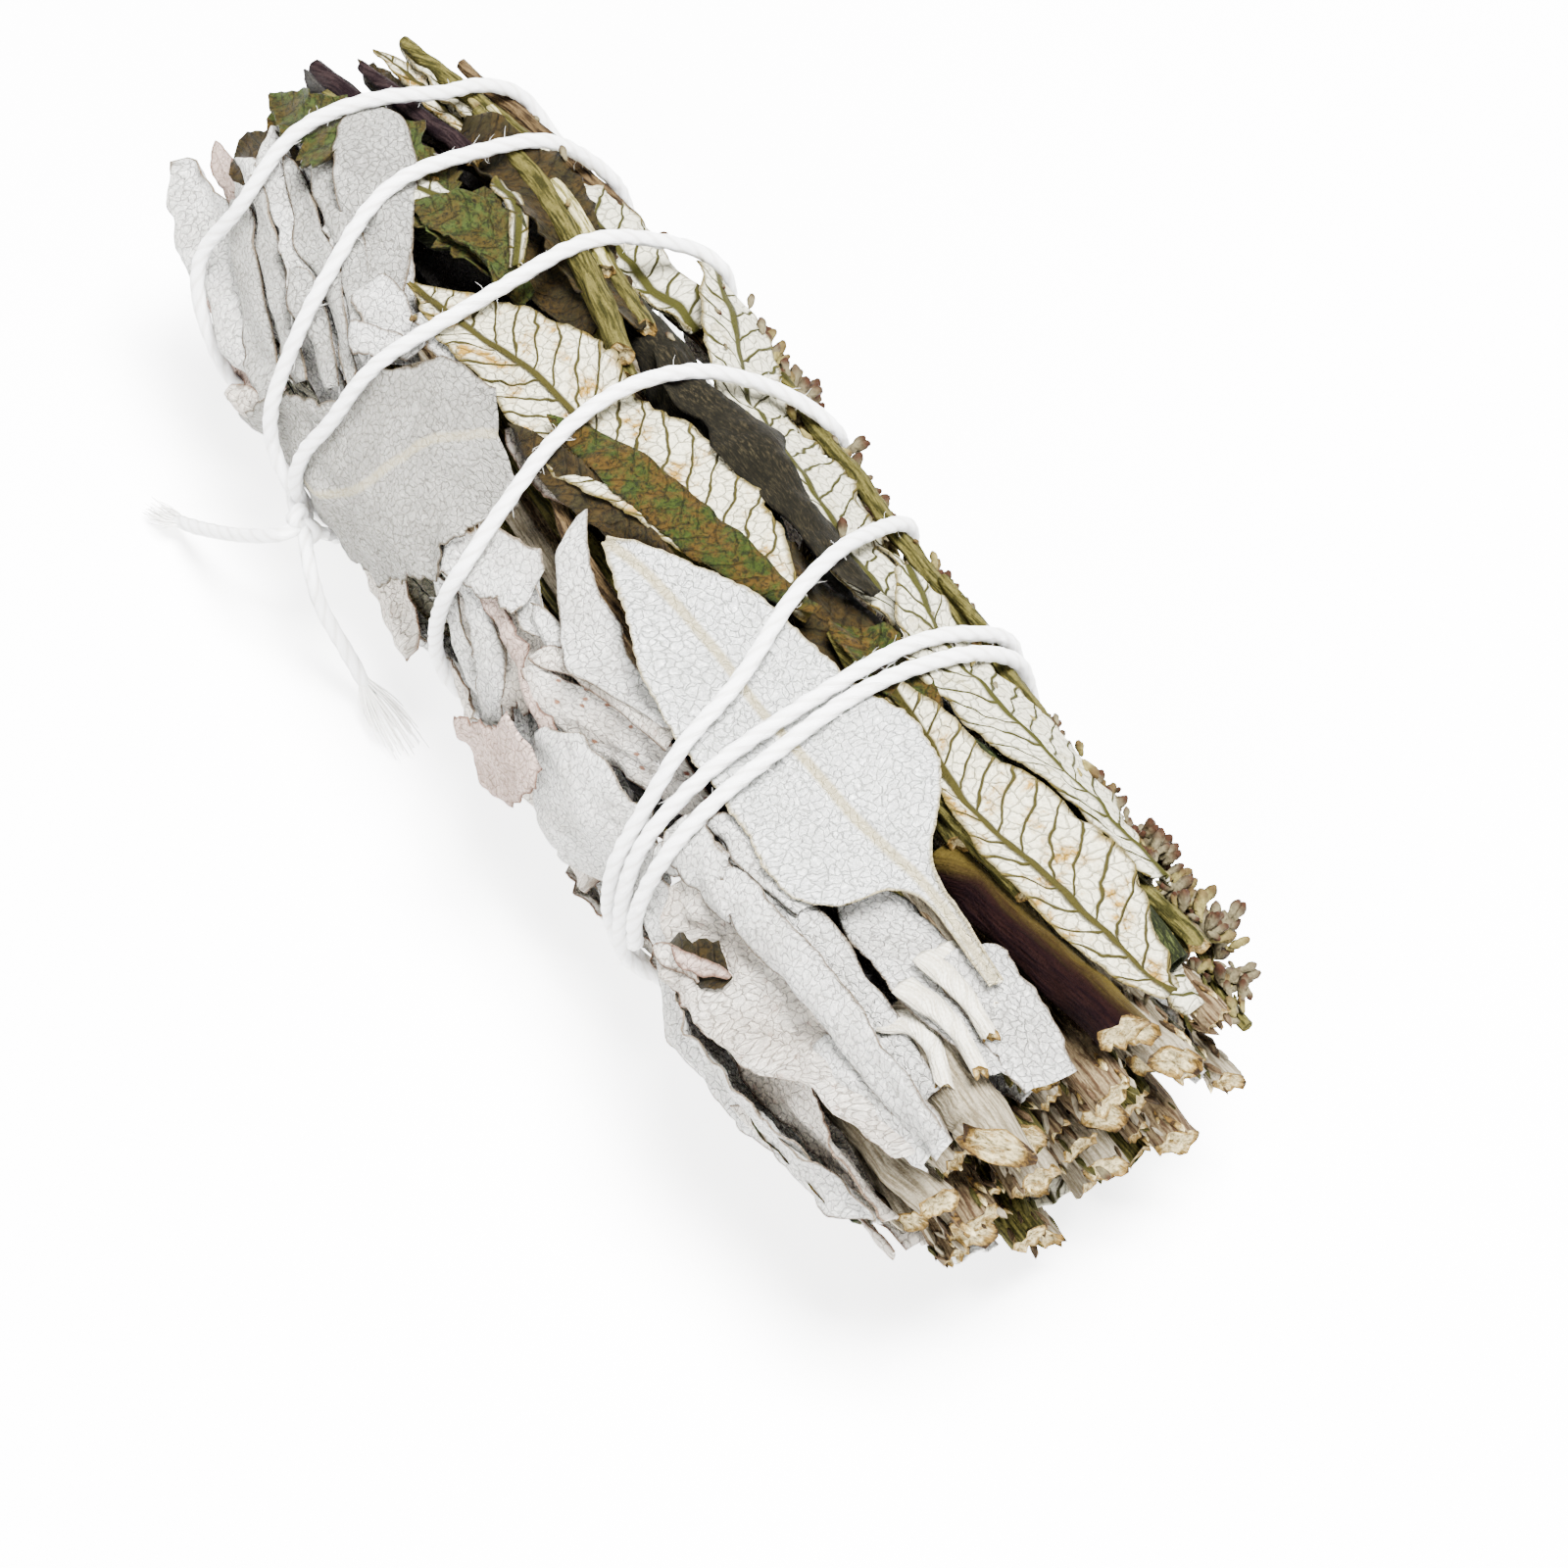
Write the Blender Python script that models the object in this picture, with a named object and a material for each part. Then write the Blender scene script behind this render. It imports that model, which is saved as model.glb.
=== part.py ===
"""Sage smudge stick: a hand-tied bundle of dried white sage, yerba santa and mugwort, lying on its side.

The bundle lies along X, leaf tips at -X and cut stems at +X. A place on it is given as (x, angle): x in
millimetres from the middle, and the angle in degrees round the axis from the top (+Z) towards +Y.
Pieces are laid from the inside out. A height map keeps the outermost radius laid so far, and each new
blade, stem or string is lifted until it clears that map.
"""
import math
import random

import bmesh
import bpy
import numpy as np

MM = 0.001
SEED = 7
GAP = 0.32
BLADE = 0.68
AXIS_HEIGHT = 19.4
# The middle of the finished box, seen from above, from the middle of the bundle; it becomes the origin.
MIDDLE = (-0.957, -2.650)
CORE_DEPTH = 7.6
INNER_DEPTH = 6.6
UNDER_DEPTH = 3.4
OUTER_DEPTH = 1.9
TOP_DEPTH = 1.5
REST_DEPTH = 1.0
STEM_DEPTH = 1.3
ROUND = 17.0
STRING_RADIUS = 0.6
STRING_STEP = 3.0
STRING_GROOVE = 1.3
STRING_GROOVE_BELOW = 3.1
GROOVE_REACH = 2.6
FLAT_DEPTH = 2.0
REST_REACH = 1.1
REST_CURVE = 2.5
REST_SPREAD = 1.4
REST_ANGLE = 22
REST_GAP = 0.1
# A leaf's midrib stands out by this much, its face waves by this much, and its edge by this share of its width.
RIB_HEIGHT = 0.38
WAVE_HEIGHT = 0.2
EDGE_WAVE = 0.1
# The string holds a resting leaf off the table where it presses deeper than this.
STRING_HOLD = 0.25
# The ribbed bunch of packed stems: from, to, and how far its ribs stand out.
BUNCH_FROM, BUNCH_TO, BUNCH_RIB = -50, 44, 0.45
# Rings of cut stems round the middle one, as (distance from the axis, number of stems, first angle).
CUT_RINGS = ((4.6, 5, 10), (8.8, 9, 4))
CUT_FROM, CUT_BEND = 38.0, 47.0
CUT_SPREAD, CUT_END_SPREAD = 1.12, 1.03
SPRAY_REACH = 2.2
SPRAY_STEM_RADIUS = 0.7
FLORET_LENGTH = 1.35
# How far a floret's middle lies from its stem's, and the turn in radians from one floret to the next.
FLORET_OUT = 1.05
FLORET_TURN = 2.4
KNOT_LUMPS = ((0, 0, 0), (1.3, -0.3, 0.4), (-0.9, 0.1, -0.9))
KNOT_LUMP_RADIUS = 1.3

# Radius of the finished bundle along its length: (x, radius).
OUTLINE = ((-62, 12.6), (-50, 14.6), (-40, 16.0), (-25, 17.3), (-10, 18.0), (10, 18.2), (25, 18.2), (40, 17.2),
           (56, 16.0))

X_FROM, X_TO, CELL = -68.0, 68.0, 0.5
ANGLE_CELL = 1.5
X_CELLS = int((X_TO - X_FROM) / CELL)
ANGLE_CELLS = int(360 / ANGLE_CELL)

# The string's way round the bundle as (angle, x): the angle grows all along, 360 a turn, from knot to knot.
STRING_TURNS = (
    ((-104, -29.5), (-92, -32), (-55, -32.5), (-38, -33), (-22, -34), (0, -35), (28, -34.7), (52, -34), (65, -33.4),
     (120, -34), (180, -36.5), (225, -39)),
    ((-110, -42.5), (-95, -46.5), (-75, -48), (-47, -45.5), (-22, -45), (0, -43.7), (20, -43.5), (35, -44.3),
     (52, -44.3), (65, -42.5), (90, -36), (120, -14), (150, 8), (180, 16), (228, 20)),
    ((-108, 20.5), (-92, 22.6), (-64, 23.6), (-36, 24.1), (-5, 23.8), (22, 23.6), (52, 23.4), (70, 23.5), (120, 25),
     (180, 26), (228, 23.4)),
    ((-108, 21.1), (-78, 21.3), (-40, 21.6), (0, 22.1), (25, 21.6), (46, 21.4), (70, 21), (120, 20), (180, 21),
     (228, 20.2)),
    ((-104, 18.4), (-80, 19.4), (-55, 19.7), (-36, 19.3), (-17, 17.8), (8, 13.9), (30, 11), (48, 9), (65, 7.6),
     (120, 3), (180, -3), (228, -7.5)),
    ((-105, -9), (-87, -8), (-59, -5.6), (-42, -5.6), (-20, -7.4), (2, -8.4), (22, -7.5), (42, -6.5), (52, -5),
     (66, -3), (115, -6), (180, -17), (228, -25)),
    ((-108, -28.2), (-82, -27), (-65, -25.2), (-40, -23.4), (-20, -22), (0, -21.9), (33, -22.4), (53, -21.6),
     (66, -20.6), (120, -21.5), (180, -24.5), (228, -26.4), (250, -25.2)),
)
KNOT = (-26.8, -106)
# The string's two loose ends from the knot down to the table, in millimetres above the table.
TAIL_BACK = ((-26.4, -20.3, 14.4), (-30.1, -21.8, 11.0), (-35.8, -22.9, 6.0), (-40.6, -23.6, 2.2), (-43.8, -24.6, 0.9))
TAIL_FRONT = ((-23.0, -19.9, 13.0), (-21.4, -20.0, 9.8), (-18.6, -19.3, 5.4), (-15.9, -18.9, 2.3), (-12.6, -18.6, 1.0))

# Leaves as (name, tip-to-base path of (x, angle), width, cupping of the edges, lift of one side, rows, columns).
INNER_LEAVES = (
    ("sage_inner_1", ((-57, 0), (-32, 6), (-7, 2)), 14.5, 0.2, 0, 7, 5),
    ("sage_inner_2", ((1, 57), (26, 66), (51, 62)), 14.5, 0.2, 0, 7, 5),
    ("sage_inner_3", ((-51, 118), (-26, 126), (-1, 130)), 14.5, 0.2, 0, 7, 5),
    ("sage_inner_4", ((1, 178), (26, 186), (51, 180)), 14.5, 0.2, 0, 7, 5),
    ("sage_inner_5", ((-54, 236), (-29, 246), (-4, 242)), 14.5, 0.2, 0, 7, 5),
    ("sage_inner_6", ((1, 300), (26, 306), (51, 310)), 14.5, 0.2, 0, 7, 5),
)
HIDDEN_LEAVES = (
    ("sage_far_1", ((-57, 115), (-36, 122), (-14, 126)), 17.0, 0.3, 0, 10, 5),
    ("yerba_far_2", ((-56, 230), (-35, 224), (-14, 219)), 14.5, 0.3, 0, 10, 5),
    ("sage_far_3", ((-22, 126), (-2, 122), (20, 117)), 17.0, 0.3, 0, 10, 5),
    ("sage_far_4", ((-24, 216), (-3, 223), (18, 228)), 17.0, 0.3, 0, 10, 5),
    ("yerba_far_5", ((6, 119), (29, 123), (50, 120)), 14.5, 0.3, 0, 10, 5),
    ("sage_far_6", ((8, 231), (29, 223), (50, 220)), 17.0, 0.3, 0, 10, 5),
)
UNDER_LEAVES = (
    ("sage_side_tip", ((-56, 76), (-40, 79), (-20, 82)), 12.0, 0.4, 0, 7, 5),
    ("sage_tip_a", ((-60, -95), (-50, -97), (-38, -104)), 8.5, 1.6, 0, 5, 5),
    ("sage_tip_b", ((-58, -72), (-48, -80), (-36, -90)), 8.0, 0.8, -1.6, 5, 5),
    ("sage_tip_c", ((-50, -45), (-42, -55), (-28, -78)), 8.5, 0.4, 1.2, 5, 5),
    ("sage_tip_d", ((-49, -26), (-41, -33), (-27, -52)), 7.5, 0.2, 1.4, 5, 5),
    ("sage_tip_e", ((-46, -5), (-38, -17), (-25, -42)), 7.5, 0.3, -1.2, 5, 5),
    ("yerba_tip_a", ((-52, -22), (-44, -14), (-34, -4), (-22, 2)), 7.5, 0.9, 0, 6, 5),
    ("yerba_tip_b", ((-54, 36), (-42, 38), (-28, 45), (-16, 50)), 8.0, 0.6, 0, 6, 5),
    ("yerba_tip_c", ((-40, 20), (-30, 22), (-14, 19)), 6.5, 0.5, 0, 5, 5),
    ("sage_left", ((-12, -112), (-24, -101), (-38, -92)), 10.0, 0.5, 0, 5, 5),
    ("sage_ragged", ((-9, -88), (-3, -74), (3, -58), (5, -44)), 8.5, 0.6, -0.8, 6, 5),
    ("sage_under", ((34, -34), (44, -27), (53, -20)), 8.0, 0.6, 0, 5, 5),
    ("sage_butt_left", ((34, -74), (44, -76), (53, -82)), 7.0, 0.9, 0.8, 5, 5),
    ("sage_spotted", ((2, -63), (11, -56), (22, -47)), 7.5, 0.5, 0, 5, 5),
    ("sage_low_right", ((22, -92), (34, -93), (50, -96)), 10.5, 0.6, 0, 6, 5),
)
SHOWN_LEAVES = (
    ("sage_low_left", ((0, -100), (10, -92), (24, -88)), 10.5, 0.5, 0, 5, 5),
    ("sage_pink", ((1, -96), (6, -84), (8, -68)), 8.0, 0.7, 0.8, 5, 5),
    ("yerba_right", ((-23, 50), (-10, 41), (4, 35), (20, 39)), 7.5, 0.5, 0, 6, 5),
    ("yerba_main", ((-24, -23), (-15, -14), (-4, -6), (14, 5)), 9.0, 0.6, 0, 8, 5),
    ("yerba_rib", ((-12, 20), (2, 21), (16, 24)), 6.5, 0.6, 0, 5, 5),
    ("sage_small_fold", ((0, -41), (8, -36), (17, -36)), 5.5, 0.2, 1.0, 5, 5),
    ("sage_wrinkled", ((20, -80), (31, -64), (43, -50)), 12.0, 0.6, 0, 6, 7),
    ("yerba_shoulder", ((14, 27), (25, 31), (38, 36), (48, 42)), 9.5, 0.6, 0, 6, 5),
    ("yerba_butt", ((30, 9), (38, 12), (46, 16), (54, 22)), 9.0, 0.8, 0, 6, 5),
    ("sage_long_fold", ((28, -47), (41, -44), (54, -45)), 5.5, 0.2, 1.2, 5, 5),
)
TOP_LEAVES = (
    ("sage_broad", ((-11, -27), (-14, -50), (-17, -78), (-21, -106)), 17.5, 0.7, 0, 8, 7),
    ("sage_central", ((1, -24), (11, -17), (24, -17), (35, -15), (47, -14)), 12.0, 0.5, 0, 10, 7),
)
STEMS = (
    ("stem_purple_tip", ((-54, -2), (-44, 4), (-37, 10)), 0.95),
    ("stem_olive_long", ((-38, 29), (-24, 20), (-11, 11)), 0.95),
    ("stem_dark_twig", ((-34, 53), (-20, 58), (-6, 60)), 0.9),
    ("stem_mottled", ((-6, -25), (0, -30), (10, -31)), 0.7),
    ("stem_sage_thick", ((34, -82), (44, -74), (55, -68)), 1.5),
    ("stem_sage_oblique", ((44, -34), (51, -36), (58, -38)), 2.1),
    ("stem_olive_butt", ((36, 0), (46, 4), (55, 8)), 1.8),
)
ROLLS = (
    ("yerba_rolled_dark", ((-20, 32), (-11, 27), (0, 19), (14, 10)), (1.0, 2.3, 1.6, 0.9)),
    ("yerba_rolled_green", ((25, 17), (33, 27), (41, 40), (50, 48)), (0.9, 1.4, 1.5, 1.0)),
    ("yerba_curled_tip", ((-38, -12), (-33, -3), (-27, 9)), (0.8, 1.9, 0.9)),
)
SPRAYS = (
    ("mugwort_spray_a", ((-14, 71), (-2, 69), (12, 67)), 15),
    ("mugwort_spray_b", ((4, 82), (16, 84), (30, 86)), 15),
    ("mugwort_spray_c", ((18, 67), (34, 66), (48, 64)), 15),
    ("mugwort_spray_d", ((34, 83), (44, 81), (54, 79)), 12),
)
# Leaves that lie pressed flat on the table.
RESTING_LEAVES = (
    ("sage_rest_tip", ((-50, 174), (-36, 179), (-20, 184)), 12.5, 0, 0, 15, 5),
    ("sage_rest_middle", ((-17, 176), (-2, 180), (14, 184)), 13.0, 0, 0, 16, 5),
    ("sage_rest_butt", ((16, 184), (30, 180), (46, 176)), 13.0, 0, 0, 16, 5),
)


def material(name, colour, roughness):
    """A plain dull material in the piece's main colour."""
    made = bpy.data.materials.new(name)
    made.use_nodes = True
    shader = made.node_tree.nodes["Principled BSDF"]
    shader.inputs["Base Color"].default_value = (*colour, 1.0)
    shader.inputs["Roughness"].default_value = roughness
    shader.inputs["Metallic"].default_value = 0.0
    return made


def outline_radius(x):
    """Radius of the finished bundle at x."""
    return np.interp(x, [p[0] for p in OUTLINE], [p[1] for p in OUTLINE])


def smooth_curve(points, count):
    """Evenly spaced places on a smooth curve through the points."""
    pts = np.array(points, dtype=float)
    ends = np.vstack([2 * pts[0] - pts[1], pts, 2 * pts[-1] - pts[-2]])
    dense = []
    for i in range(len(pts) - 1):
        a, b, c, d = ends[i:i + 4]
        for t in np.linspace(0, 1, 24, endpoint=False):
            dense.append(0.5 * (2 * b + (c - a) * t + (2 * a - 5 * b + 4 * c - d) * t ** 2
                                + (3 * b - a - 3 * c + d) * t ** 3))
    dense.append(pts[-1])
    dense = np.array(dense)
    run = np.concatenate([[0], np.cumsum(np.linalg.norm(np.diff(dense, axis=0), axis=1))])
    wanted = np.linspace(0, run[-1], count)
    return np.column_stack([np.interp(wanted, run, dense[:, k]) for k in range(dense.shape[1])])


def surface_path(points, count):
    """A path on the unrolled bundle: x, distance round it, and the unit direction across the path."""
    flat = smooth_curve([(x, math.radians(a) * ROUND) for x, a in points], count)
    way = np.gradient(flat, axis=0)
    way /= np.linalg.norm(way, axis=1)[:, None]
    across = np.column_stack([-way[:, 1], way[:, 0]])
    return flat, across


def to_space(x, angle, radius):
    """Place (x, angle in radians, radius) as a point in millimetres, with the axis at height zero."""
    return np.stack([x, radius * np.sin(angle), radius * np.cos(angle)], axis=-1)


def cells(points):
    """The height map's cells and the radius of some points."""
    col = np.clip(((points[..., 0] - X_FROM) / CELL).astype(int), 1, X_CELLS - 2)
    angle = np.degrees(np.arctan2(points[..., 1], points[..., 2])) % 360
    row = (angle / ANGLE_CELL).astype(int) % ANGLE_CELLS
    return col, row, np.hypot(points[..., 1], points[..., 2])


def lattice(steps):
    """Barycentric weights of a lattice of points on a triangle."""
    return np.array([(i, j, steps - i - j) for i in range(steps + 1) for j in range(steps + 1 - i)]) / steps


FINE = lattice(9)


class HeightMap:
    """The outermost radius laid so far, and the grooves that the string presses."""

    def __init__(self):
        self.top = np.zeros((X_CELLS, ANGLE_CELLS))
        self.string_groove, self.groove = self.press()

    def press(self):
        """Depth pressed in at each cell: by the string, and by the table under the bundle."""
        xs = X_FROM + CELL * (np.arange(X_CELLS) + 0.5)
        angles = ANGLE_CELL * (np.arange(ANGLE_CELLS) + 0.5)
        route = string_route(1.2)
        nearest = np.full((X_CELLS, ANGLE_CELLS), 1e9)
        for x, angle in route:
            turn = (angles - angle + 180) % 360 - 180
            round_way = np.radians(turn) * ROUND
            near = np.abs(xs - x) < 9
            gap = (xs[near, None] - x) ** 2 + round_way[None, :] ** 2
            nearest[near] = np.minimum(nearest[near], gap)
        below = np.clip((-np.cos(np.radians(angles)) - 0.55) / 0.3, 0, 1)
        depth = STRING_GROOVE + (STRING_GROOVE_BELOW - STRING_GROOVE) * below
        groove = depth[None, :] * np.exp(-nearest / GROOVE_REACH ** 2)
        plane = (AXIS_HEIGHT - FLAT_DEPTH) / np.maximum(-np.cos(np.radians(angles)), 0.2)
        flat = np.maximum(0, outline_radius(xs)[:, None] - plane[None, :])
        return groove, groove + flat

    def pressed(self, x, angle, by_string=False):
        """Depth pressed in at some places."""
        col = np.clip(((x - X_FROM) / CELL).astype(int), 0, X_CELLS - 1)
        row = (np.degrees(angle) % 360 / ANGLE_CELL).astype(int) % ANGLE_CELLS
        return (self.string_groove if by_string else self.groove)[col, row]

    def stamp(self, points, tris):
        """Raise the map to a laid surface."""
        spots = np.einsum("lk,tkc->tlc", FINE, points[tris]).reshape(-1, 3)
        col, row, radius = cells(spots)
        for i in (-1, 0, 1):
            for j in (-1, 0, 1):
                np.maximum.at(self.top, (col + i, (row + j) % ANGLE_CELLS), radius)

    def lift(self, place, handles, tris, gap=GAP):
        """Raise the handles until every point of the surface clears the map."""
        raised = np.zeros(handles.max() + 1)
        for _ in range(80):
            points = place(raised[handles])
            spots = np.einsum("lk,tkc->tlc", FINE, points[tris])
            col, row, radius = cells(spots)
            short = self.top[col, row] + gap - radius
            short[self.top[col, row] <= 0] = -1
            if short.max() < 0.004:
                break
            push = np.maximum(short, 0)[:, :, None] * np.clip(FINE[None] * 1.6, 0.03, 1)
            step = np.zeros_like(raised)
            for corner in range(3):
                np.maximum.at(step, handles[tris[:, corner]], push[:, :, corner].max(axis=1))
            raised += step * 0.6
        return raised


def string_route(spacing):
    """Places (x, angle) along the whole winding of the string, from knot to knot."""
    points = []
    for turn, stops in enumerate(STRING_TURNS):
        for angle, x in stops:
            points.append((x, math.radians(angle + 360 * turn) * ROUND))
    rough = smooth_curve(points, 2000)
    length = np.linalg.norm(np.diff(rough, axis=0), axis=1).sum()
    even = smooth_curve(points, int(length / spacing))
    return np.column_stack([even[:, 0], np.degrees(even[:, 1] / ROUND)])


def grid_triangles(rows, columns):
    """Triangles of a grid, split alike everywhere."""
    tris = []
    for i in range(rows - 1):
        for j in range(columns - 1):
            a, b = i * columns + j, i * columns + j + 1
            c, d = a + columns, b + columns
            tris += [(a, b, d), (a, d, c)] if (i + j) % 2 else [(a, b, c), (b, d, c)]
    return np.array(tris)


def new_piece(name, points, faces, coat):
    """A closed solid from points in millimetres about the axis."""
    mesh = bpy.data.meshes.new(name)
    lifted = np.array(points) + (-MIDDLE[0], -MIDDLE[1], AXIS_HEIGHT)
    mesh.from_pydata((lifted * MM).tolist(), [], [tuple(int(v) for v in face) for face in faces])
    shape = bmesh.new()
    shape.from_mesh(mesh)
    bmesh.ops.recalc_face_normals(shape, faces=shape.faces)
    shape.to_mesh(mesh)
    shape.free()
    piece = bpy.data.objects.new(name, mesh)
    bpy.context.scene.collection.objects.link(piece)
    piece.data.materials.append(coat)
    return piece


def blade_sheet(path, width, rows, columns, phase):
    """Places of a blade's grid, tip first, with waved edges."""
    flat, across = surface_path(path, rows)
    along = np.linspace(0, 1, rows)
    half = width / 2 * np.sin(math.pi * (0.07 + 0.88 * along)) ** 0.62
    side = np.linspace(-1, 1, columns)
    waves = 1 + EDGE_WAVE * np.sin(along[:, None] * 11 + phase + side[None, :] * 2.2)
    reach = half[:, None] * side[None, :] * waves
    x = flat[:, :1] + across[:, :1] * reach
    angle = (flat[:, 1:] + across[:, 1:] * reach) / ROUND
    return x, angle, along, side


def lay_blade(name, spec, coat, field, depth, phase):
    """One leaf, cupped, waved and ribbed, laid over what is there."""
    path, width, cup, tip_side, rows, columns = spec
    x, angle, along, side = blade_sheet(path, width, rows, columns, phase)
    rise = cup * np.abs(side[None, :]) ** 1.7 * np.ones((rows, 1))
    rise = rise + np.maximum(0, tip_side * side[None, :]) * 0.7
    if REST_DEPTH < depth < INNER_DEPTH:
        rise = rise + WAVE_HEIGHT * (1 + np.sin(along[:, None] * 9 + side[None, :] * 3 + phase * 1.7))
    x, angle, rise = x.ravel(), angle.ravel(), rise.ravel()
    low = outline_radius(x) - depth
    pressed = field.pressed(x, angle)
    if depth == REST_DEPTH:
        pressed = field.pressed(x, angle, by_string=True)
        off_middle = np.degrees(np.abs(angle - math.pi)) / REST_ANGLE
        table = AXIS_HEIGHT - BLADE - REST_GAP - REST_CURVE * off_middle ** 2
        low = np.minimum(table, outline_radius(x) + REST_SPREAD)
    col, row, _ = cells(to_space(x, angle, low))
    start = np.maximum(low, field.top[col, row] + pressed + GAP)
    start = stiffen(start.reshape(rows, columns)).ravel() + rise
    tris = grid_triangles(rows, columns)
    handles = np.arange(rows * columns)
    raised = field.lift(lambda up: to_space(x, angle, start + up - pressed), handles, tris)
    inner = start + raised - pressed
    rib = np.zeros((rows, columns))
    rib[:, columns // 2] = RIB_HEIGHT * np.sin(math.pi * (0.15 + 0.8 * along))
    outer = inner + BLADE + rib.ravel()
    under, over = to_space(x, angle, inner), to_space(x, angle, outer)
    if depth == REST_DEPTH:
        clear_of_string = field.pressed(x, angle, by_string=True) < STRING_HOLD
        rested = clear_of_string & (over[:, 2] < REST_REACH - AXIS_HEIGHT)
        over[rested | (over[:, 2] < -AXIS_HEIGHT), 2] = -AXIS_HEIGHT
    field.stamp(over, tris)
    count = rows * columns
    edge = list(range(columns)) + [i * columns + columns - 1 for i in range(1, rows)]
    edge += [count - 1 - i for i in range(1, columns)] + [i * columns for i in range(rows - 2, 0, -1)]
    faces = [tuple(t) for t in tris] + [tuple(t[::-1] + count) for t in tris]
    for a, b in zip(edge, edge[1:] + edge[:1]):
        faces += [(a, b, b + count), (a, b + count, a + count)]
    return new_piece(name, np.vstack([over, under]), faces, coat)


def stiffen(radius):
    """A blade bridges small steps: each point is at least near the mean of its neighbours."""
    for _ in range(3):
        wide = np.pad(radius, 1, mode="edge")
        mean = (wide[:-2, 1:-1] + wide[2:, 1:-1] + wide[1:-1, :-2] + wide[1:-1, 2:]) / 4
        radius = np.maximum(radius, mean - 0.05)
    return radius


def tube_faces(rings, sides):
    """Triangles of a closed tube with flat ends, and which ring each point is on."""
    faces = []
    for i in range(rings - 1):
        for j in range(sides):
            a, b = i * sides + j, i * sides + (j + 1) % sides
            faces += [(a, b, b + sides), (a, b + sides, a + sides)]
    return np.array(faces), np.repeat(np.arange(rings), sides)


def tube_points(flat, across, centre, wide, tall, sides):
    """Rings of a tube along a surface path, at a radius for each ring."""
    turn = 2 * math.pi * (np.arange(sides) + 0.5) / sides
    out = wide[:, None] * np.cos(turn)[None, :]
    x = flat[:, :1] + across[:, :1] * out
    angle = flat[:, 1:] / ROUND + across[:, 1:] * out / centre[:, None]
    radius = centre[:, None] + tall[:, None] * np.sin(turn)[None, :]
    return to_space(x, angle, radius).reshape(-1, 3)


def lay_tube(path, widths, heights, field, count, sides):
    """A stem's or roll's points, laid over what is there."""
    flat, across = surface_path(path, count)
    along = np.linspace(0, 1, count)
    wide = np.interp(along, np.linspace(0, 1, len(widths)), widths)
    tall = np.interp(along, np.linspace(0, 1, len(heights)), heights)
    angle = flat[:, 1] / ROUND
    pressed = field.pressed(flat[:, 0], angle)
    low = outline_radius(flat[:, 0]) - STEM_DEPTH - tall
    tris, rings = tube_faces(count, sides)

    def place(up):
        centre = low + up.reshape(count, sides)[:, 0] - pressed
        return tube_points(flat, across, centre, wide, tall, sides)

    raised = field.lift(place, rings, tris)
    for _ in range(2):
        wide_up = np.pad(raised, 1, mode="edge")
        raised = np.maximum(raised, (wide_up[:-2] + wide_up[2:]) / 2)
    points = place(np.repeat(raised, sides))
    field.stamp(points, tris)
    return points, tris, flat, across, low + raised - pressed


def close_tube(points, tris, count, sides):
    """Faces of a tube with its two ends capped by fans."""
    faces = [tuple(t) for t in tris]
    points = np.vstack([points, points[:sides].mean(axis=0), points[-sides:].mean(axis=0)])
    first, last = len(points) - 2, len(points) - 1
    base = (count - 1) * sides
    for j in range(sides):
        faces.append((first, (j + 1) % sides, j))
        faces.append((last, base + j, base + (j + 1) % sides))
    return points, faces


def lay_stem(name, path, widths, heights, coat, field, count=6, sides=7):
    """One outer stem or rolled leaf."""
    points, tris, *_ = lay_tube(path, widths, heights, field, count, sides)
    points, faces = close_tube(points, tris, count, sides)
    return new_piece(name, points, faces, coat)


def fuse(name, pieces, coat):
    """One body from overlapping pieces."""
    first, rest = pieces[0], pieces[1:]
    group = bpy.data.collections.new(name + "_parts")
    for piece in rest:
        group.objects.link(piece)
    joined = first.modifiers.new("Join", "BOOLEAN")
    joined.operation = "UNION"
    joined.operand_type = "COLLECTION"
    joined.collection = group
    joined.solver = "MANIFOLD"
    bpy.context.view_layer.update()
    evaluated = first.evaluated_get(bpy.context.evaluated_depsgraph_get())
    mesh = bpy.data.meshes.new_from_object(evaluated)
    first.modifiers.clear()
    first.data = mesh
    first.name = name
    for piece in rest:
        bpy.data.objects.remove(piece, do_unlink=True)
    bpy.data.collections.remove(group)
    mesh.materials.clear()
    mesh.materials.append(coat)
    return first


def stem_bunch(coat, field, draw):
    """The packed stems: a ribbed bunch with cut ends of its own at the butt."""
    rings, sides = 13, 24
    xs = np.linspace(BUNCH_FROM, BUNCH_TO, rings)
    points = []
    for x in xs:
        near_tip = np.clip((x - BUNCH_FROM) / 14, 0, 1) ** 0.5
        for j in range(sides):
            angle = 2 * math.pi * j / sides
            pressed = field.pressed(np.array([x]), np.array([angle]))[0]
            rib = BUNCH_RIB if j % 2 else 0.0
            radius = (outline_radius(x) - CORE_DEPTH - rib - pressed * 0.9) * (0.45 + 0.55 * near_tip)
            points.append(to_space(x, angle, radius))
    tris, _ = tube_faces(rings, sides)
    body, faces = close_tube(np.array(points), tris, rings, sides)
    field.stamp(np.array(points), tris)
    pieces = [new_piece("bunch", body, faces, coat)]
    pieces.append(cut_stem(0.0, 0.0, draw, coat, field))
    for radius, number, first in CUT_RINGS:
        for k in range(number):
            pieces.append(cut_stem(radius, 360 // number * k + first, draw, coat, field))
    return fuse("inner_stem_bunch", pieces, coat)


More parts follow.
